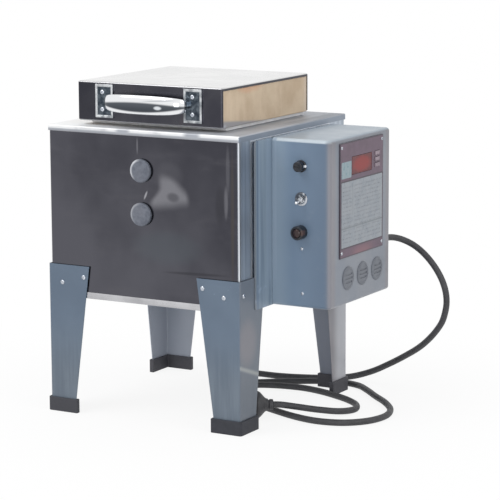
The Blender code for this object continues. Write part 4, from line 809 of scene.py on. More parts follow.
# the cord follows the route of its solid: down from the box, round on the floor and up into the plug
cordSet = {
    "diameter": 0.0105,
    "length": 2.078,
    "exit": (0.2591, 0.3233, 0.2687),
    "step": 0.006,
    "unit": 10000,
    "rest": 56,
    "fall": (
        (2604, 3450, 2682), (2642, 3552, 2668), (2708, 3638, 2641), (2797, 3696, 2600), (2910, 3727, 2543),
        (3035, 3737, 2464), (3158, 3737, 2364), (3277, 3728, 2246), (3386, 3716, 2110), (3475, 3706, 1955),
        (3527, 3707, 1785), (3530, 3728, 1605), (3480, 3768, 1415), (3385, 3830, 1230), (3170, 3940, 985),
        (2900, 4050, 752), (2580, 4150, 545), (2240, 4210, 350), (1900, 4220, 180), (1550, 4110, 74),
    ),
    "floor": (
        (1180, 3900), (750, 3720), (400, 3640), (120, 3630), (-160, 3620), (-358, 3567), (-502, 3423),
        (-555, 3225), (-502, 3027), (-358, 2883), (-160, 2830), (110, 2905), (340, 3060), (620, 3270),
        (900, 3460), (1220, 3640), (1580, 3740), (1940, 3665), (2230, 3430), (2530, 3130), (2880, 2800),
        (3160, 2420), (3275, 2010), (3180, 1600), (2890, 1300), (2480, 1195), (2050, 1270), (1600, 1450),
        (1120, 1670), (640, 1880), (310, 2090), (140, 2400), (220, 2690), (460, 2900), (800, 3020),
        (1200, 3060), (1580, 2985), (1940, 2840), (2260, 2670), (2530, 2440),
    ),
    "rise": (
        (2650, 2140, 60), (2530, 1850, 78), (2260, 1630, 120), (1990, 1440, 175), (1780, 1290, 218),
        (1670, 1212, 225),
    ),
}


def smoothLine(points, step):
    # an even line of points on a smooth curve through the given ones
    points = [Vector(p) for p in points]
    ends = [points[0] * 2 - points[1], *points, points[-1] * 2 - points[-2]]
    fine = []
    parts = 24
    for a, b, c, d in zip(ends, ends[1:], ends[2:], ends[3:]):
        for i in range(parts):
            t = i / parts
            fine.append(
                (b * 2 + (c - a) * t + (a * 2 - b * 5 + c * 4 - d) * t ** 2 + (b * 3 - a - c * 3 + d) * t ** 3) / 2
            )
    fine.append(points[-1])
    total = sum((q - p).length for p, q in zip(fine, fine[1:]))
    count = max(2, round(total / step))
    line, gone, goal = [fine[0]], 0.0, total / count
    for p, q in zip(fine, fine[1:]):
        stretch = (q - p).length
        while gone + stretch >= goal - 1e-9 and len(line) < count:
            line.append(p.lerp(q, (goal - gone) / stretch))
            goal += total / count
        gone += stretch
    line.append(fine[-1])
    return line


def ribbon(name, points, radius, resolution, radii=None):
    # a round line along points, left as a curve
    data = bpy.data.curves.new(name, "CURVE")
    data.dimensions = "3D"
    data.bevel_depth = radius
    data.bevel_resolution = resolution
    data.use_fill_caps = True
    spline = data.splines.new("POLY")
    spline.points.add(len(points) - 1)
    for i, point in enumerate(points):
        spline.points[i].co = (*point, 1)
        spline.points[i].radius = radii[i] if radii else 1
    spline.use_smooth = True
    return linked(bpy.data.objects.new(name, data))


def meshed(obj):
    only(obj)
    bpy.ops.object.convert(target="MESH")
    return shape(
        bpy.context.active_object, "FACE", lambda face: True,
        lambda: bpy.ops.mesh.remove_doubles(threshold=0.000005),
        lambda: bpy.ops.mesh.normals_make_consistent(inside=False),
    )


def turned(name, profile, start, aim, sides=64):
    # turns a profile of (radius, height) round aim: a disc, drawn out ring by ring
    clearPick()
    radius, height = profile[0]
    bpy.ops.mesh.primitive_circle_add(vertices=sides, radius=radius, location=(0, 0, height), fill_type="NGON")
    obj = settle(name)
    bpy.ops.object.mode_set(mode="EDIT")
    bpy.ops.mesh.select_all(action="SELECT")
    for (before, low), (after, high) in zip(profile, profile[1:]):
        bpy.ops.mesh.extrude_region()
        bpy.ops.transform.translate(value=(0, 0, high - low))
        bpy.ops.transform.resize(value=(after / before, after / before, 1), center_override=(0, 0, high))
    bpy.ops.mesh.select_all(action="SELECT")
    bpy.ops.mesh.normals_make_consistent(inside=False)
    bpy.ops.object.mode_set(mode="OBJECT")
    obj.data.transform(Matrix.Translation(Vector(start)) @ turnTo(aim))
    return obj


def routePoints():
    s = cordSet
    corners = (*s["fall"], *((x, y, s["rest"]) for x, y in s["floor"]), *s["rise"])
    straight = exitPoint + Vector((0, s["diameter"], 0))
    line = [straight, *(at(*(value / s["unit"] for value in corner)) for corner in corners)]
    return [exitPoint] + smoothLine(line, s["step"])


exitPoint = at(*cordSet["exit"])
route = routePoints()
cord = ribbon("mains_cord", route, cordSet["diameter"] / 2, 7)
finished(cord, rubber, "power_cord")


# strain relief: a flange and a ribbed nose that narrows to the cord
reliefSet = {
    "tail": 0.0090, "inside": 0.0095, "flange": 0.011, "flangeThick": 0.0040, "length": 0.0200, "nose": 0.0078,
    "ribs": 4, "groove": 0.0011, "mouth": 0.0060,
}


def makeRelief():
    s = reliefSet
    profile = [(s["tail"], -s["inside"]), (s["tail"], lift), (s["flange"], lift), (s["flange"], s["flangeThick"])]
    pitch = (s["length"] - s["flangeThick"]) / s["ribs"]
    for i in range(s["ribs"]):
        share = i / s["ribs"]
        wide = s["flange"] * (1 - share) * 0.92 + s["nose"] * share
        start = s["flangeThick"] + pitch * i
        profile += [
            (wide, start + 0.0001), (wide, start + pitch * 0.62),
            (wide - s["groove"], start + pitch * 0.68), (wide - s["groove"], start + pitch * 0.98),
        ]
    profile += [(s["nose"], s["length"] - 0.0001), (s["mouth"], s["length"])]
    m = middleOf("strain_relief")
    piece = turned("cord_relief", profile, (m.x, span("box_shell")[1].y, m.z), (0, 1, 0))
    return finished(soften(piece, 0.0003, 2), blackPlastic, "strain_relief")


relief = makeRelief()


# plug: a moulded body with finger ridges and a neck
plugSet = {
    "radius": 0.0220, "length": 0.0460, "neck": 0.0088, "shoulder": (0.0092, 0.0165, 9), "ridges": 4,
    "ridgeDepth": 0.0009, "ridgeStart": 0.0270, "ridgePitch": 0.0038,
}


def makePlug():
    s = plugSet
    heading = (route[-1] - route[-2]).normalized()
    neck, radius, groove = s["neck"], s["radius"], s["radius"] - s["ridgeDepth"]
    base, tall, steps = s["shoulder"]
    profile = [
        (neck * 0.80, 0), (neck, 0.0008), (neck, 0.006), (neck * 0.86, 0.0066), (neck * 0.90, 0.0078),
        (neck * 1.1, base),
    ]
    for i in range(1, steps + 1):
        bend = (1 - math.cos(math.pi * i / steps)) / 2
        profile.append((neck * 1.1 + (radius - neck * 1.1) * bend, base + tall * i / steps))
    for i in range(s["ridges"]):
        start = s["ridgeStart"] + i * s["ridgePitch"]
        profile += [(radius, start), (groove, start + 0.0006), (groove, start + 0.0014), (radius, start + 0.0020)]
    profile += [(radius, s["length"] * 0.95), (radius * 0.93, s["length"])]
    piece = turned("mains_plug", profile, route[-1] + heading * lift, heading)
    return finished(smooth(piece, 50), rubber, "plug_body")


plug = makePlug()
dressed(traySheet, "plug_prongs")
print("cord and plug made")


# jacket: one sheet folded round the bricks
jacketSet = {
    "corner": 0.0042, "sheet": 0.001, "plugHole": 0.0123, "tailHole": 0.005, "tailGap": 0.012, "probeHole": 0.0044,
    "reach": 0.004,
}


def makeJacket():
    s = jacketSet
    low, high = span("front_panel")
    high.y = span("back_panel")[1].y
    jacket = foldedSheet("jacket", low, high, lambda n: abs(n.z) > 0.9, s["corner"], s["sheet"], 6)
    cutters = [bore(f"peep_plug_{end}", 1, low.y, s["plugHole"], s["reach"]) for end in ("upper", "lower")]
    for i in range(3):
        for side in (-s["tailGap"], s["tailGap"]):
            cutters.append(bore(f"heating_element_{i + 1}", 0, high.x, s["tailHole"], s["reach"], side))
    cutters.append(bore("thermocouple", 0, high.x, s["probeHole"], s["reach"]))
    smooth(carve(jacket, *cutters))
    finished(jacket, darkSheet, ("front_panel", "back_panel", "left_panel", "right_panel"))


makeJacket()


# cap and tray: pressed covers over the jacket's ends
coverSet = {"sheet": 0.001, "capFold": 0.0022, "trayFold": 0.0015, "mouthInset": 0.013, "cut": 0.01, "seatEdge": 0.0012}


def makeCovers():
    s = coverSet
    low, high = span("top_cap")
    cap = foldedSheet("cap_cover", low, high, lambda n: n.z < -0.9, s["capFold"], s["sheet"])
    mouthLow, mouthHigh = span("lid_seat")
    inset = s["mouthInset"]
    carve(cap, block(
        "mouthCut", (mouthLow.x + inset, mouthLow.y + inset, high.z - s["cut"]),
        (mouthHigh.x - inset, mouthHigh.y - inset, high.z + s["cut"]),
    ))
    finished(smooth(cap), capSheet, "top_cap")
    tray = foldedSheet("base_tray", *span("bottom_tray"), lambda n: n.z > 0.9, s["trayFold"], s["sheet"])
    finished(smooth(tray), traySheet, "bottom_tray")
    kept("lid_seat", "seat_gasket", fibre, s["seatEdge"], 3)


makeCovers()
print("jacket and covers made")


# bricks with worn edges
brickSet = {"edge": 0.0009, "lidEdge": 0.0016}


def makeBricks():
    for side in ("front", "back", "left", "right", "floor"):
        kept(side + "_brick", "block_" + side, hotBrick, brickSet["edge"])
    kept("lid_brick", "block_lid", brick, brickSet["lidEdge"], 3, "lid")


makeBricks()


# lid cover: top, front and back skirts, and narrow hems at its sides
lidSet = {"sheet": 0.001, "fold": 0.0030, "foldGap": 0.0006, "hem": 0.0040, "cut": 0.01}


def makeLid():
    s = lidSet
    low, high = span("lid_cover")
    cover = foldedSheet("lid_skin", low, high, lambda n: n.z < -0.9, s["fold"], s["sheet"])
    inset = s["fold"] + s["foldGap"]
    carve(cover, block(
        "sideCut", (low.x - s["cut"], low.y + inset, low.z - s["cut"]),
        (high.x + s["cut"], high.y - inset, high.z - s["sheet"] - s["hem"]),
    ))
    finished(smooth(cover), lidSkin, "lid_cover", "lid")


makeLid()
print("bricks and lid made")


# legs: angle sheet with a rounded bend, in rubber boots
legSet = {"sheet": 0.0015, "bend": 0.0035, "edge": 0.0004, "bootBend": 0.0045, "bootEdge": 0.0011, "near": 0.0002}


def upright(name, inside=0):
    # a test for the edges that stand at a node's outer corner, or that far inside it
    low, high = span(name)
    x = high.x - inside if "right" in name else low.x + inside
    y = high.y - inside if "back" in name else low.y + inside
    near = legSet["near"]
    return lambda edge: all(abs(v.co.x - x) < near and abs(v.co.y - y) < near for v in edge.verts)


def makeLegs():
    s = legSet
    for place in ("front_left", "front_right", "back_left", "back_right"):
        name = "leg_" + place
        leg = bevelled(copied(name, "angle_" + name), s["bend"], upright(name))
        bevelled(leg, s["bend"] - s["sheet"], upright(name, s["sheet"]))
        finished(soften(leg, s["edge"], 2, 50), legCoat, name)
        name = "boot_" + place
        boot = bevelled(copied(name, "rubber_" + name), s["bootBend"], upright(name))
        finished(soften(boot, s["bootEdge"], 3, 50), bootRubber, name)


makeLegs()
print("legs and boots made")


# handle: a bowed grip between two plates with raised borders
handleSet = {
    "border": 0.0032, "sink": 0.0007, "edge": 0.0005, "thick": 0.010, "tall": 0.030, "reach": 0.028, "neck": 0.62,
    "endInset": 0.010, "steps": 72, "squareness": (0.75, 0.60),
}


def gripFinish():
    # chrome with painted reflections: bright on top with a darker line, a dark room low on its bow with a painted
    # highlight spot in it, and a bright rim under it
    finish = Finish("grip chrome", Metallic=1.0)
    low, high = span("handle_grip")
    across = (finish.x - (low.x + high.x) / 2) * (2 / (high.x - low.x))
    upward = (finish.z - (low.z + high.z) / 2) * (2 / (high.z - low.z))
    bow = across * across
    # painted reflection of a dark room along the middle of the bow, with a bright painted highlight spot
    dark = (upward + bow * 0.30).fade(0.16, 0.40) * (upward - bow * 0.50).ease(-0.84, -0.62)
    roomReflection = upward.ease(-0.7, 0.4).blend((0.060, 0.068, 0.080), (0.108, 0.120, 0.138))
    roomReflection = spot((across - 0.46) * 9.0, (upward + 0.20) * 4.0, 0.1, 1.0).blend(roomReflection, (0.72, 0.75, 0.79))
    line = across.band(0.15, 0.75, 0.2) * (upward - across * 0.25).band(0.36, 0.46, 0.08) * 0.6
    base = dark.blend(line.blend((0.84, 0.85, 0.87), (0.22, 0.24, 0.27)), roomReflection)
    return finish.done(base, finish.noise(60.0, 3.0).within(0.06, 0.12), finish.noise(300.0, 2.0), 0.02, 0.0002)


def plateShine():
    # a raised border with a painted highlight, broken here and there, round a field painted dark and mottled as painted
    # reflection
    finish = Finish("plate chrome", Metallic=1.0)
    (leftLow, leftHigh), (rightLow, rightHigh) = span("handle_plate_left"), span("handle_plate_right")
    centre = (leftLow.x + rightHigh.x) / 2
    spread = (rightLow.x + rightHigh.x - leftLow.x - leftHigh.x) / 4
    halfX, halfZ = (leftHigh.x - leftLow.x) / 2, (leftHigh.z - leftLow.z) / 2
    edgeX = abs(abs(finish.x - centre) - spread).ease(halfX - 0.0042, halfX - 0.0030)
    edgeZ = abs(finish.z - (leftLow.z + leftHigh.z) / 2).ease(halfZ - 0.0048, halfZ - 0.0034)
    # where the painted highlight on the border breaks up
    highlightBreaks = finish.noise(70.0, 2.0).ease(0.3, 0.6, 0.20, 0.80)
    mottle = finish.noise(110.0, 4.0, 0.65)
    field = mottle.ease(0.35, 0.75).blend((0.030, 0.040, 0.054), (0.150, 0.178, 0.205))
    base = (edgeX.maths("MAXIMUM", edgeX, edgeZ) * highlightBreaks).blend(field, (0.78, 0.80, 0.82))
    return finish.done(base, mottle.within(0.10, 0.20), mottle, 0.05, 0.0002)


def makeHandle():
    s = handleSet
    for side in ("left", "right"):
        name = "handle_plate_" + side
        plate = block("grip_plate_" + side, *span(name))
        sunk(plate, lambda f: f.normal.y < -0.9, s["border"], (0, s["sink"], 0))
        finished(soften(plate, s["edge"]), plateChrome, name, "lid")
    left, right = middleOf("handle_plate_left"), middleOf("handle_plate_right")
    middle, height = (left.x + right.x) / 2, left.z
    half = (right.x - left.x) / 2 - s["endInset"]
    end = span("handle_plate_left")[0].y + s["sink"] - 0.0001
    reach = s["reach"] - s["thick"] / 2 + s["sink"] - 0.0002
    wide, deep = s["squareness"]
    points, radii = [], []
    for i in range(s["steps"] + 1):
        turn = math.pi * i / s["steps"]
        along = -math.copysign(abs(math.cos(turn)) ** wide, math.cos(turn))
        points.append(Vector((middle + half * along, end - reach * math.sin(turn) ** deep, 0)))
        radii.append(s["neck"] + (1 - s["neck"]) * math.sin(turn))
    grip = meshed(ribbon("grip_bar", points, s["thick"] / 2, 12, radii))
    grip.data.transform(Matrix.Translation((0, 0, height)) @ Matrix.Diagonal((1, 1, s["tall"] / s["thick"], 1)))
    carve(grip, block(
        "gripCut", (middle - half * 2, end, height - s["tall"]),
        (middle + half * 2, end + s["reach"], height + s["tall"]),
    ))
    finished(smooth(grip, 50), gripChrome, "handle_grip", "lid")


gripChrome = gripFinish()
plateChrome = plateShine()
makeHandle()


# hinge: rod, ears on the cap and arms on the lid
hingeSet = {"rodEdge": 0.0008, "edge": 0.0005}


def makeHinge():
    low, high = span("hinge_rod")
    radius, m = (high.z - low.z) / 2, middleOf("hinge_rod")
    pin = turned("hinge_pin", [(radius, 0), (radius, high.x - low.x)], (low.x, m.y, m.z), (1, 0, 0), 48)
    finished(soften(pin, hingeSet["rodEdge"]), zinc, "hinge_rod")
    for side in ("left", "right"):
        kept("hinge_bracket_" + side, "hinge_ear_" + side, zinc, hingeSet["edge"])
        kept("lid_arm_" + side, "hinge_arm_" + side, zinc, hingeSet["edge"], 2, "lid")


makeHinge()
print("handle and hinge made")


# peep plugs: a disc with a softened rim on a tapered stem
plugStemSet = {"head": 0.0185, "thick": 0.006, "rim": 0.0012, "dish": 0.0004, "stem": 0.0120, "tip": 0.0095}


def makePeepPlugs():
    s = plugStemSet
    front = span("front_panel")[0].y
    head, rim, top = s["head"], s["rim"], s["thick"] + lift
    for end in ("upper", "lower"):
        name = "peep_plug_" + end
        length = span(name)[1].y - front
        profile = [
            (s["tip"] * 0.9, -length), (s["tip"], -length + 0.001), (s["stem"] - 0.0001, lift), (head - 0.0008, lift),
            (head, 0.0011), (head, top - rim), (head - rim, top), (head - 0.0032, top),
            (head - 0.0040, top - s["dish"]), (head - 0.0100, top - s["dish"]),
        ]
        m = middleOf(name)
        piece = turned("ceramic_plug_" + end, profile, (m.x, front, m.z), (0, -1, 0), 96)
        finished(soften(piece, 0.0005, 3, 30), ceramic, name, end + "_peep_plug")


makePeepPlugs()
print("peep plugs made")


# heating coils in the grooves, with straight tails through the wall
coilSet = {
    "mean": 0.0036, "wire": 0.0008, "pitch": 0.0036, "perTurn": 9, "corner": 0.012, "cornerSteps": 12,
    "tail": 0.0020, "tailGap": 0.012, "tailStep": 0.003,
}


def makeCoils():
    s = coilSet
    r, steps, gap, up = s["corner"], s["cornerSteps"], s["tailGap"], Vector((0, 0, 1))
    for i in range(3):
        name = f"heating_element_{i + 1}"
        low, high = span(name)
        level, middleY = (low.z + high.z) / 2, (low.y + high.y) / 2
        radius = (high.z - low.z) / 2
        left, front, back = low.x + radius, low.y + radius, high.y - radius
        right = 2 * kilnMiddle.x - left
        spine = [Vector((right, middleY - gap - radius, level))]
        for cx, cy, start in (
            (right - r, front + r, 0), (left + r, front + r, -90),
            (left + r, back - r, -180), (right - r, back - r, -270),
        ):
            for k in range(steps + 1):
                angle = math.radians(start - 90 * k / steps)
                spine.append(Vector((cx + r * math.cos(angle), cy + r * math.sin(angle), level)))
        spine.append(Vector((right, middleY + gap + radius, level)))
        along = [0.0]
        for a, b in zip(spine, spine[1:]):
            along.append(along[-1] + (b - a).length)
        count = round(along[-1] / s["pitch"]) * s["perTurn"]
        points, j = [], 0
        for k in range(count + 1):
            goal = along[-1] * k / count
            while j < len(along) - 2 and along[j + 1] < goal:
                j += 1
            ahead = (spine[j + 1] - spine[j]).normalized()
            turn = 2 * math.pi * k / s["perTurn"]
            out = ahead.cross(up) * math.cos(turn) + up * math.sin(turn)
            points.append(spine[j] + ahead * (goal - along[j]) + out * s["mean"])
        pieces = [meshed(ribbon(f"coil_{i + 1}", points, s["wire"], 0))]
        for side, near in ((-1, points[0]), (1, points[-1])):
            y = middleY + side * gap
            bend = [near, (right, y + side * radius * 0.4, level), (right + radius, y, level), (high.x, y, level)]
            pieces.append(meshed(ribbon("tail", smoothLine(bend, s["tailStep"]), s["tail"], 3)))
        finished(smooth(joined(f"coil_{i + 1}", pieces), 60), resistance, name)


makeCoils()
print("coils made")


# control box: a folded shell without its inner side, on a back plate
def makeBox():
    s = boxSet
    low, high = span("box_shell")
    reach, more = s["reach"], s["window"]
    shell = foldedSheet("box_cover", low, high, lambda n: n.x < -0.9, s["radius"], s["sheet"])
    cutters = [bore(name, 1, low.y, radius, s["frontReach"]) for name, radius in s["frontHoles"].items()]
    screenLow, screenHigh = span("display_window")
    cutters.append(block(
        "windowCut", (high.x - reach, screenLow.y - more, screenLow.z - more),
        (high.x + reach, span("key_3")[1].y + more, screenHigh.z + more),
    ))
    cutters += [bore(f"vent_{i + 1}", 0, high.x, s["ventHole"], reach) for i in range(3)]
    cutters.append(bore("strain_relief", 1, high.y, s["cordHole"], reach))
    finished(smooth(carve(shell, *cutters)), paint, "box_shell")
    kept("box_back_plate", "box_rear_plate", shield, 0.0003)


makeBox()


# vents: low round covers with three slots
ventSet = {
    "radius": 0.0190, "barrel": 0.0155, "proud": 0.0022, "dish": 0.0006, "depth": 0.006,
    "slot": 0.0030, "slotFloor": 0.0006, "slotCorner": 0.0014, "pitch": 0.0062,
}


def makeVents():
    s = ventSet
    wall = span("box_shell")[1].x
    radius, proud = s["radius"], s["proud"]
    vent = turned("ventDisc", [
        (s["barrel"], -s["depth"]), (s["barrel"], lift), (radius - 0.0003, lift), (radius, 0.0006),
        (radius - 0.0008, 0.0016), (radius - 0.0024, proud), (radius - 0.0042, proud),
        (radius - 0.0048, proud - s["dish"]), (radius - 0.0120, proud - s["dish"]),
    ], (0, 0, 0), (1, 0, 0), 72)
    for k in (-1, 0, 1):
        z = k * s["pitch"]
        reach = math.sqrt(s["barrel"] ** 2 - z ** 2) * 0.8
        slot = block("slotCut", (s["slotFloor"], -reach, z - s["slot"] / 2), (0.02, reach, z + s["slot"] / 2))
        bevelled(slot, s["slotCorner"], lambda e: abs(e.verts[0].co.x - e.verts[1].co.x) > 0.005)
        carve(vent, slot)
    soften(vent, 0.0003, 2, 50)
    for i in range(3):
        m = middleOf(f"vent_{i + 1}")
        cover = placed(vent, f"vent_cover_{i + 1}", (wall, m.y, m.z))
        finished(cover, ventPlastic, f"vent_{i + 1}")
    bpy.data.objects.remove(vent)


ventPlastic = plain("vent plastic", (0.122, 0.134, 0.160), (0.165, 0.178, 0.205), (0.4, 0.55), bump=0.1)
makeVents()
print("box and vents made")


# controller: faceplate with its window and keys, a reference card and a small label
plateSet = {
    "edge": 0.0007, "gap": 0.0003, "cut": 0.02, "cardThick": 0.00018, "cardGap": 0.00002, "cardCorner": 0.0015,
    "card": ((0.1290, 0.2840), (0.2690, 0.3870)),
    "label": ((0.1290, 0.3930), (0.1620, 0.4190)),
    "pane": (0.0016, -0.0004), "key": (0.0010, -0.0003),
    "rowPitch": 0.0062, "rule": 0.029,
}


def plateFinish():
    # maroon print with a dark outline, and a dark frame round the card
    finish = Finish("maroon plate", IOR=1.45)
    low, high = span("controller_plate")
    _, y, z = finish.fromFront()
    cloud = finish.noise(60.0, 4.0)
    wide, tall = (high.y - low.y) / 2, (high.z - low.z) / 2
    rimY = abs(finish.y - (low.y + high.y) / 2).ease(wide - 0.0022, wide - 0.0014)
    rimZ = abs(z - (low.z + high.z) / 2).ease(tall - 0.0022, tall - 0.0014)
    (startY, startZ), (endY, endZ) = plateSet["card"]
    frame = y.band(startY - 0.0018, endY + 0.0018, 0.0003) * z.band(startZ - 0.0022, endZ + 0.0022, 0.0003)
    base = layered(
        cloud.tones((0.096, 0.060, 0.090), (0.132, 0.088, 0.125)),
        (z.fade(low.z + 0.004, low.z + 0.020) * y.band(0.17, 0.23, 0.02) * 0.6, (0.250, 0.120, 0.140)),
        (rimY.maths("MAXIMUM", rimY, rimZ) * 0.7, (0.045, 0.036, 0.050)),
        (frame * 0.8, (0.040, 0.032, 0.046)),
    )
    return finish.done(base, cloud.within(0.30, 0.42), finish.noise(900.0, 2.0), 0.1, 0.0002)


def cardFinish():
    # faint ruled rows in two columns, with a divider between them and a rule above the foot
    finish = Finish("ruled card", IOR=1.45)
    (startY, startZ), (_, endZ) = plateSet["card"]
    tall, rule = endZ - startZ, plateSet["rule"]
    cloud = finish.noise(60.0, 3.0)
    y, z = finish.y - kilnMiddle.y - startY, finish.z - startZ
    rows = z.maths("SINE", z * (2 * math.pi / plateSet["rowPitch"])).ease(0.30, 0.8)
    broken = finish.noise(240.0, 2.0, 0.5, (1.0, 1.0, 3.0)).ease(0.42, 0.56)
    columns = y.band(0.004, 0.034, 0.0008) + y.band(0.042, 0.134, 0.0008)
    divider = y.band(0.0372, 0.0386, 0.0004) * z.band(rule + 0.020, tall - 0.004, 0.001)
    base = layered(
        cloud.tones((0.232, 0.262, 0.298), (0.285, 0.310, 0.340)),
        (rows * broken * columns * z.band(0.005, tall - 0.006, 0.001) * 0.55, (0.110, 0.115, 0.140)),
        ((divider + z.band(rule, rule + 0.0022, 0.0005)) * 0.55, (0.080, 0.100, 0.110)),
    )
    return finish.done(base, cloud.within(0.25, 0.35), finish.noise(700.0, 2.0), 0.05, 0.0001)


def windowFinish():
    # a smoked red window with a painted glow along its middle
    finish = Finish("display glass", IOR=1.3)
    low, high = span("display_window")
    cloud = finish.noise(40.0, 3.0)
    across, upward = (finish.y - (low.y + high.y) / 2) / 0.034, (finish.z - (low.z + high.z) / 2) / 0.014
    smoke = cloud.tones((0.105, 0.030, 0.034), (0.150, 0.044, 0.048))
    # the painted glow along the window's middle
    base = (spot(across, upward, 0.2, 1.25) * 0.8).blend(smoke, (0.275, 0.036, 0.034))
    return finish.done(base, cloud.within(0.12, 0.2), finish.noise(500.0, 2.0), 0.03, 0.0001)


def makeController():
    s = plateSet
    plate = block("face_plate", *span("controller_plate"))
    more = Vector((s["cut"], s["gap"], s["gap"]))
    for name in ("display_window", "key_1", "key_2", "key_3"):
        low, high = span(name)
        carve(plate, block("windowCut", low - more, high + more))
    finished(soften(plate, s["edge"], 3, 50), maroon, "controller_plate")
    border, shift = s["pane"]
    pane = sunk(
        block("display_pane", *span("display_window")), lambda f: f.normal.x > 0.9, border, (shift, 0, 0),
    )
    finished(soften(pane, 0.0003, 2, 50), glass, "display_window")
    border, shift = s["key"]
    for i, body in enumerate(("top_key", "middle_key", "bottom_key")):
        name = f"key_{i + 1}"
        key = sunk(block("push_" + name, *span(name)), lambda f: f.normal.x > 0.9, border, (shift, 0, 0))
        finished(soften(key, 0.0006, 3, 30), keyPlastic, name, body)
    face = span("controller_plate")[1].x - kilnMiddle.x + s["cardGap"]
    for name, finish in (("card", ruled), ("label", labelFoil)):
        (lowY, lowZ), (highY, highZ) = s[name]
        card = block("plate_" + name, at(face, lowY, lowZ), at(face + s["cardThick"], highY, highZ))
        bevelled(card, s["cardCorner"], lambda e: abs(e.verts[0].co.x - e.verts[1].co.x) > 0.0001, 4)
        finished(smooth(card), finish)


maroon = plateFinish()
ruled = cardFinish()
glass = windowFinish()
labelFoil = plain("label foil", (0.17, 0.27, 0.31), (0.26, 0.33, 0.36), (0.25, 0.35), scale=120.0, bump=0.05)
keyPlastic = plain("key plastic", (0.22, 0.170, 0.205), (0.30, 0.240, 0.280), (0.35, 0.5), bump=0.08)
makeController()
print("controller made")


# front controls: fuse cap, toggle and pilot lamp
controlSet = {
    "collar": 0.0095, "fuseBarrel": 0.0063, "fuseBore": 0.0036, "fuseEdge": 0.0003, "cap": 0.0080, "capBase": 0.0036,
    "capLength": 0.010, "capSlot": (0.0055, 0.0016, 0.0007), "bush": 0.0041, "throat": 0.0032, "nut": 0.0076,
    "washer": 0.0108, "washerThick": 0.0012, "bushLength": 0.008, "threads": 4, "threadPitch": 0.0011,
    "leverTip": 0.0029, "leverTilt": 13, "bezel": 0.0110, "bezelLength": 0.016, "lens": 0.0068,
}


def litBlack(name, nodeName, place, reach, depth, colour, dark, light, rough):
    # black plastic with one lit spot on its right
    finish = Finish(name, IOR=1.5)
    m, wall = middleOf(nodeName), span("box_shell")[0].y
    grain = finish.noise(200.0, 3.0)
    across, upward = (finish.x - m.x - place[0]) / reach[0], (finish.z - m.z - place[1]) / reach[1]
    lit = spot(across, upward, 0.1, 1.0) * (finish.y - wall).ease(*depth)
    base = lit.blend(grain.tones(dark, light), colour)
    return finish.done(base, grain.within(*rough), grain, 0.05, 0.0001)


def nutFinish():
    # a painted highlight to the right and painted shade to the upper left
    finish = Finish("nut steel", Metallic=1.0)
    m, radius = middleOf("toggle_switch"), controlSet["washer"]
    grain = finish.noise(170.0, 3.0, 0.6)
    # painted light: lighter to the right, darker to the upper left
    tone = grain + (finish.x - m.x) / radius * 0.16 - (finish.z - m.z) / radius * 0.12
    base = tone.ease(0.38, 0.66).blend((0.110, 0.120, 0.140), (0.640, 0.660, 0.690))
    return finish.done(base, grain.within(0.26, 0.40), grain, 0.1, 0.0002)


def makeFuse(start, forward):
    s = controlSet
    barrel, collar, inner, cap = s["fuseBarrel"], s["collar"], s["fuseBore"], s["cap"]
    holder = turned("fuse_body", [
        (barrel * 0.9, -0.036), (barrel, -0.035), (barrel, lift), (collar, lift), (collar, 0.0022),
        (collar - 0.0010, 0.0033), (0.0040, 0.0033), (inner, 0.0028), (inner, -0.0325), (0.0020, -0.0327),
    ], start, forward)
    finished(soften(holder, s["fuseEdge"], 2, 50), capPlastic, "fuse_holder")
    base = s["capBase"]
    top = base + s["capLength"]
    knob = turned("fuse_knob_cap", [
        (0.0023, base + 0.0053), (0.0023, base), (cap - 0.0004, base), (cap, base + 0.0004), (cap, top - 0.0010),
        (cap - 0.0010, top), (cap - 0.0030, top), (cap - 0.0036, top - 0.0004), (0.001, top - 0.0004),
    ], start, forward)
    half, deep, thin = s["capSlot"]
    x, wall, z = start
    carve(knob, block(
        "slotCut", (x - half, wall - top - 0.002, z - thin), (x + half, wall - top + deep, z + thin),
    ))
    finished(soften(knob, 0.00025, 2, 50), capPlastic, "fuse_cap", "fuse_knob")


def makeLamp(start, forward):
    s = controlSet
    bezel, lens, length = s["bezel"], s["lens"], s["bezelLength"] + lift
    ring = turned("lamp_ring", [
        (0.0060, -0.022), (0.0063, -0.0215), (0.0063, lift), (bezel, lift), (bezel, length - 0.0012),
        (bezel - 0.0012, length), (lens + 0.0010, length), (lens + 0.0003, length - 0.0008),
        (lens + 0.0003, length - 0.0100), (0.002, length - 0.0100),
    ], start, forward, 80)
    finished(soften(ring, 0.0003, 2, 50), lampShell, "lamp_bezel")
    profile = [(lens, length - 0.0097), (lens, length)] + domed(lens, length, 0.0020, 1, 8.5)
    dome = turned("lamp_dome", profile, start, forward)
    finished(smooth(dome, 50), lampRed, "lamp_lens")


def domed(radius, height, tall, first, steps):
    # the rounded end of a profile
    angles = [math.pi / 2 * k / steps for k in range(first, first + 8)]
    return [(radius * math.cos(angle), height + tall * math.sin(angle)) for angle in angles]


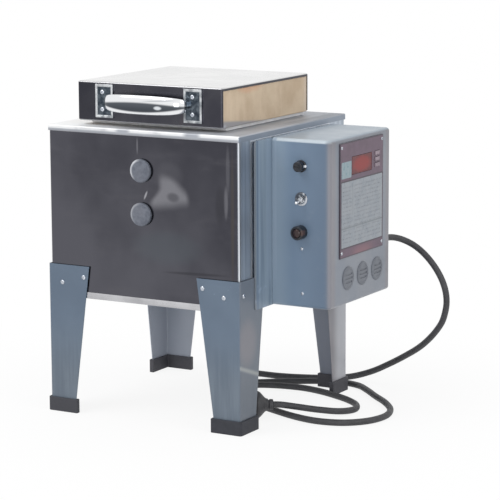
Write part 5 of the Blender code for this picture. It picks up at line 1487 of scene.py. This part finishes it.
def makeToggle(start, forward):
    s = controlSet
    nut, bush, length, throat, washer = s["nut"], s["bush"], s["bushLength"], s["throat"], s["washer"]
    body = turned("toggle_bush", [
        (nut * 0.9, -0.0215), (nut, -0.0210), (nut, -0.0015), (bush, -0.0015), (bush, length - 0.0006),
        (bush - 0.0005, length), (throat, length), (throat, -0.0070), (0.001, -0.0072),
    ], start, forward)
    pieces = [body, soften(turned("toggleNut", [(nut, lift), (nut, 0.0028)], start, forward, 6), 0.0004, 3, 30)]
    for k in range(s["threads"]):
        base = 0.0034 + k * s["threadPitch"]
        profile = [(bush - 0.0002, base), (bush + 0.00025, base + 0.0003), (bush - 0.0002, base + 0.0006)]
        pieces.append(turned("thread", profile, start, forward))
    finished(smooth(joined("toggle_bush", pieces)), nutSteel, "toggle_switch")
    inner, thick = nut + 0.0003, s["washerThick"]
    ring = turned("toggle_washer", [
        (inner, 0.00005), (washer, 0.00005), (washer, thick - 0.0003), (washer - 0.0003, thick), (inner, thick),
    ], start, forward)
    carve(ring, bore("toggle_switch", 1, start[1], nut + 0.0002, 0.01))
    finished(smooth(ring), nutSteel)
    tip = s["leverTip"]
    profile = [(0.0010, -0.0068), (0.0014, -0.0060), (0.0016, 0.0000), (0.0019, 0.0080), (tip * 0.93, 0.0155)]
    profile += domed(tip, 0.0172, 0.0028, 0, 7.6)
    tilt = Matrix.Rotation(math.radians(s["leverTilt"]), 3, "X") @ Vector(forward)
    bat = turned("toggle_bat", profile, start, tilt, 40)
    finished(smooth(bat, 60), chrome, "toggle_lever", "toggle")


lampRed = plain("lamp red", (0.016, 0.007, 0.007), (0.030, 0.010, 0.010), (0.08, 0.15), bump=0.02)
nutSteel = nutFinish()
capPlastic = litBlack(
    "cap plastic", "fuse_cap", (0.0086, 0.0004), (0.0024, 0.0026), (-0.0080, -0.0050), (0.80, 0.82, 0.85),
    (0.007, 0.008, 0.013), (0.014, 0.016, 0.024), (0.22, 0.35),
)
lampShell = litBlack(
    "lamp ring", "lamp_bezel", (0.0098, 0.0010), (0.0050, 0.0056), (-0.0095, -0.0050, 1.0, 0.0), (0.060, 0.032, 0.029),
    (0.006, 0.008, 0.013), (0.012, 0.015, 0.022), (0.25, 0.40),
)
for name, make in (("fuse_holder", makeFuse), ("lamp_bezel", makeLamp), ("toggle_switch", makeToggle)):
    m = middleOf(name)
    make((m.x, span("box_shell")[0].y, m.z), (0, -1, 0))
print("controls made")


# screws: one slotted cross head, copied to each place
screwSet = {
    "head": 0.0036, "high": 0.0016, "cross": 0.0009, "small": 0.72, "turns": (0.5, 0.7),
    "legFront": ((-0.1515, 0.214), (-0.1107, 0.225), (0.1113, 0.2276), (0.1493, 0.216)),
    "legSide": ((0.0084, 0.2197),),
    "boxFront": ((0.2325, 0.285), (0.2335, 0.214)),
    "grip": ((-0.0851, 0.5217), (-0.0851, 0.4942), (0.0813, 0.5217), (0.0813, 0.4942)),
    "plate": ((0.1300, 0.4420), (0.2680, 0.4420), (0.1300, 0.2760), (0.2680, 0.2760)),
}


def makeScrews():
    s = screwSet
    wide, high = s["head"], s["high"]
    head = turned("screwHead", [
        (wide, 0.0), (wide, high * 0.35), (wide * 0.86, high * 0.72), (wide * 0.62, high * 0.94), (wide * 0.25, high),
    ], (0, 0, 0), (0, 0, 1), 32)
    reach, thin = wide * 0.55, s["cross"] / 2
    for x, y in ((reach, thin), (thin, reach)):
        carve(head, block("crossCut", (-x, -y, high * 0.35), (x, y, high * 2)))
    smooth(head)
    small = placed(head, "smallHead", (0, 0, 0))
    small.data.transform(Matrix.Scale(s["small"], 4))
    gripFace = span("handle_plate_left")[0].y + handleSet["sink"]
    rows = (
        (head, "legFront", 1, span("leg_front_left")[0].y, mainBody),
        (head, "legSide", 0, span("leg_front_right")[1].x, mainBody),
        (small, "boxFront", 1, span("box_shell")[0].y, mainBody),
        (head, "grip", 1, gripFace, "lid"),
        (small, "plate", 0, span("controller_plate")[1].x, mainBody),
    )
    count = 0
    first, step = s["turns"]
    for kind, row, axis, face, body in rows:
        for along, z in s[row]:
            place = (along + kilnMiddle.x, face, z) if axis else (face, along + kilnMiddle.y, z)
            aim = (0, -1, 0) if axis else (1, 0, 0)
            screw = placed(kind, f"screw_{count + 1}", place, aim, first + count * step)
            finished(screw, bright, body=body)
            count += 1
    for kind in (head, small):
        bpy.data.objects.remove(kind)


makeScrews()

# what stays as the CAD has it gets its finish
board = plain("circuit board", (0.020, 0.120, 0.055), (0.035, 0.170, 0.075), (0.3, 0.45), scale=160.0, bump=0.2)
dressed(porcelain, "terminal_strip", "thermocouple", "fuse_carrier")
dressed(board, "controller_board")
dressed(blackPlastic, "relay")
print("screws made, inner parts finished")
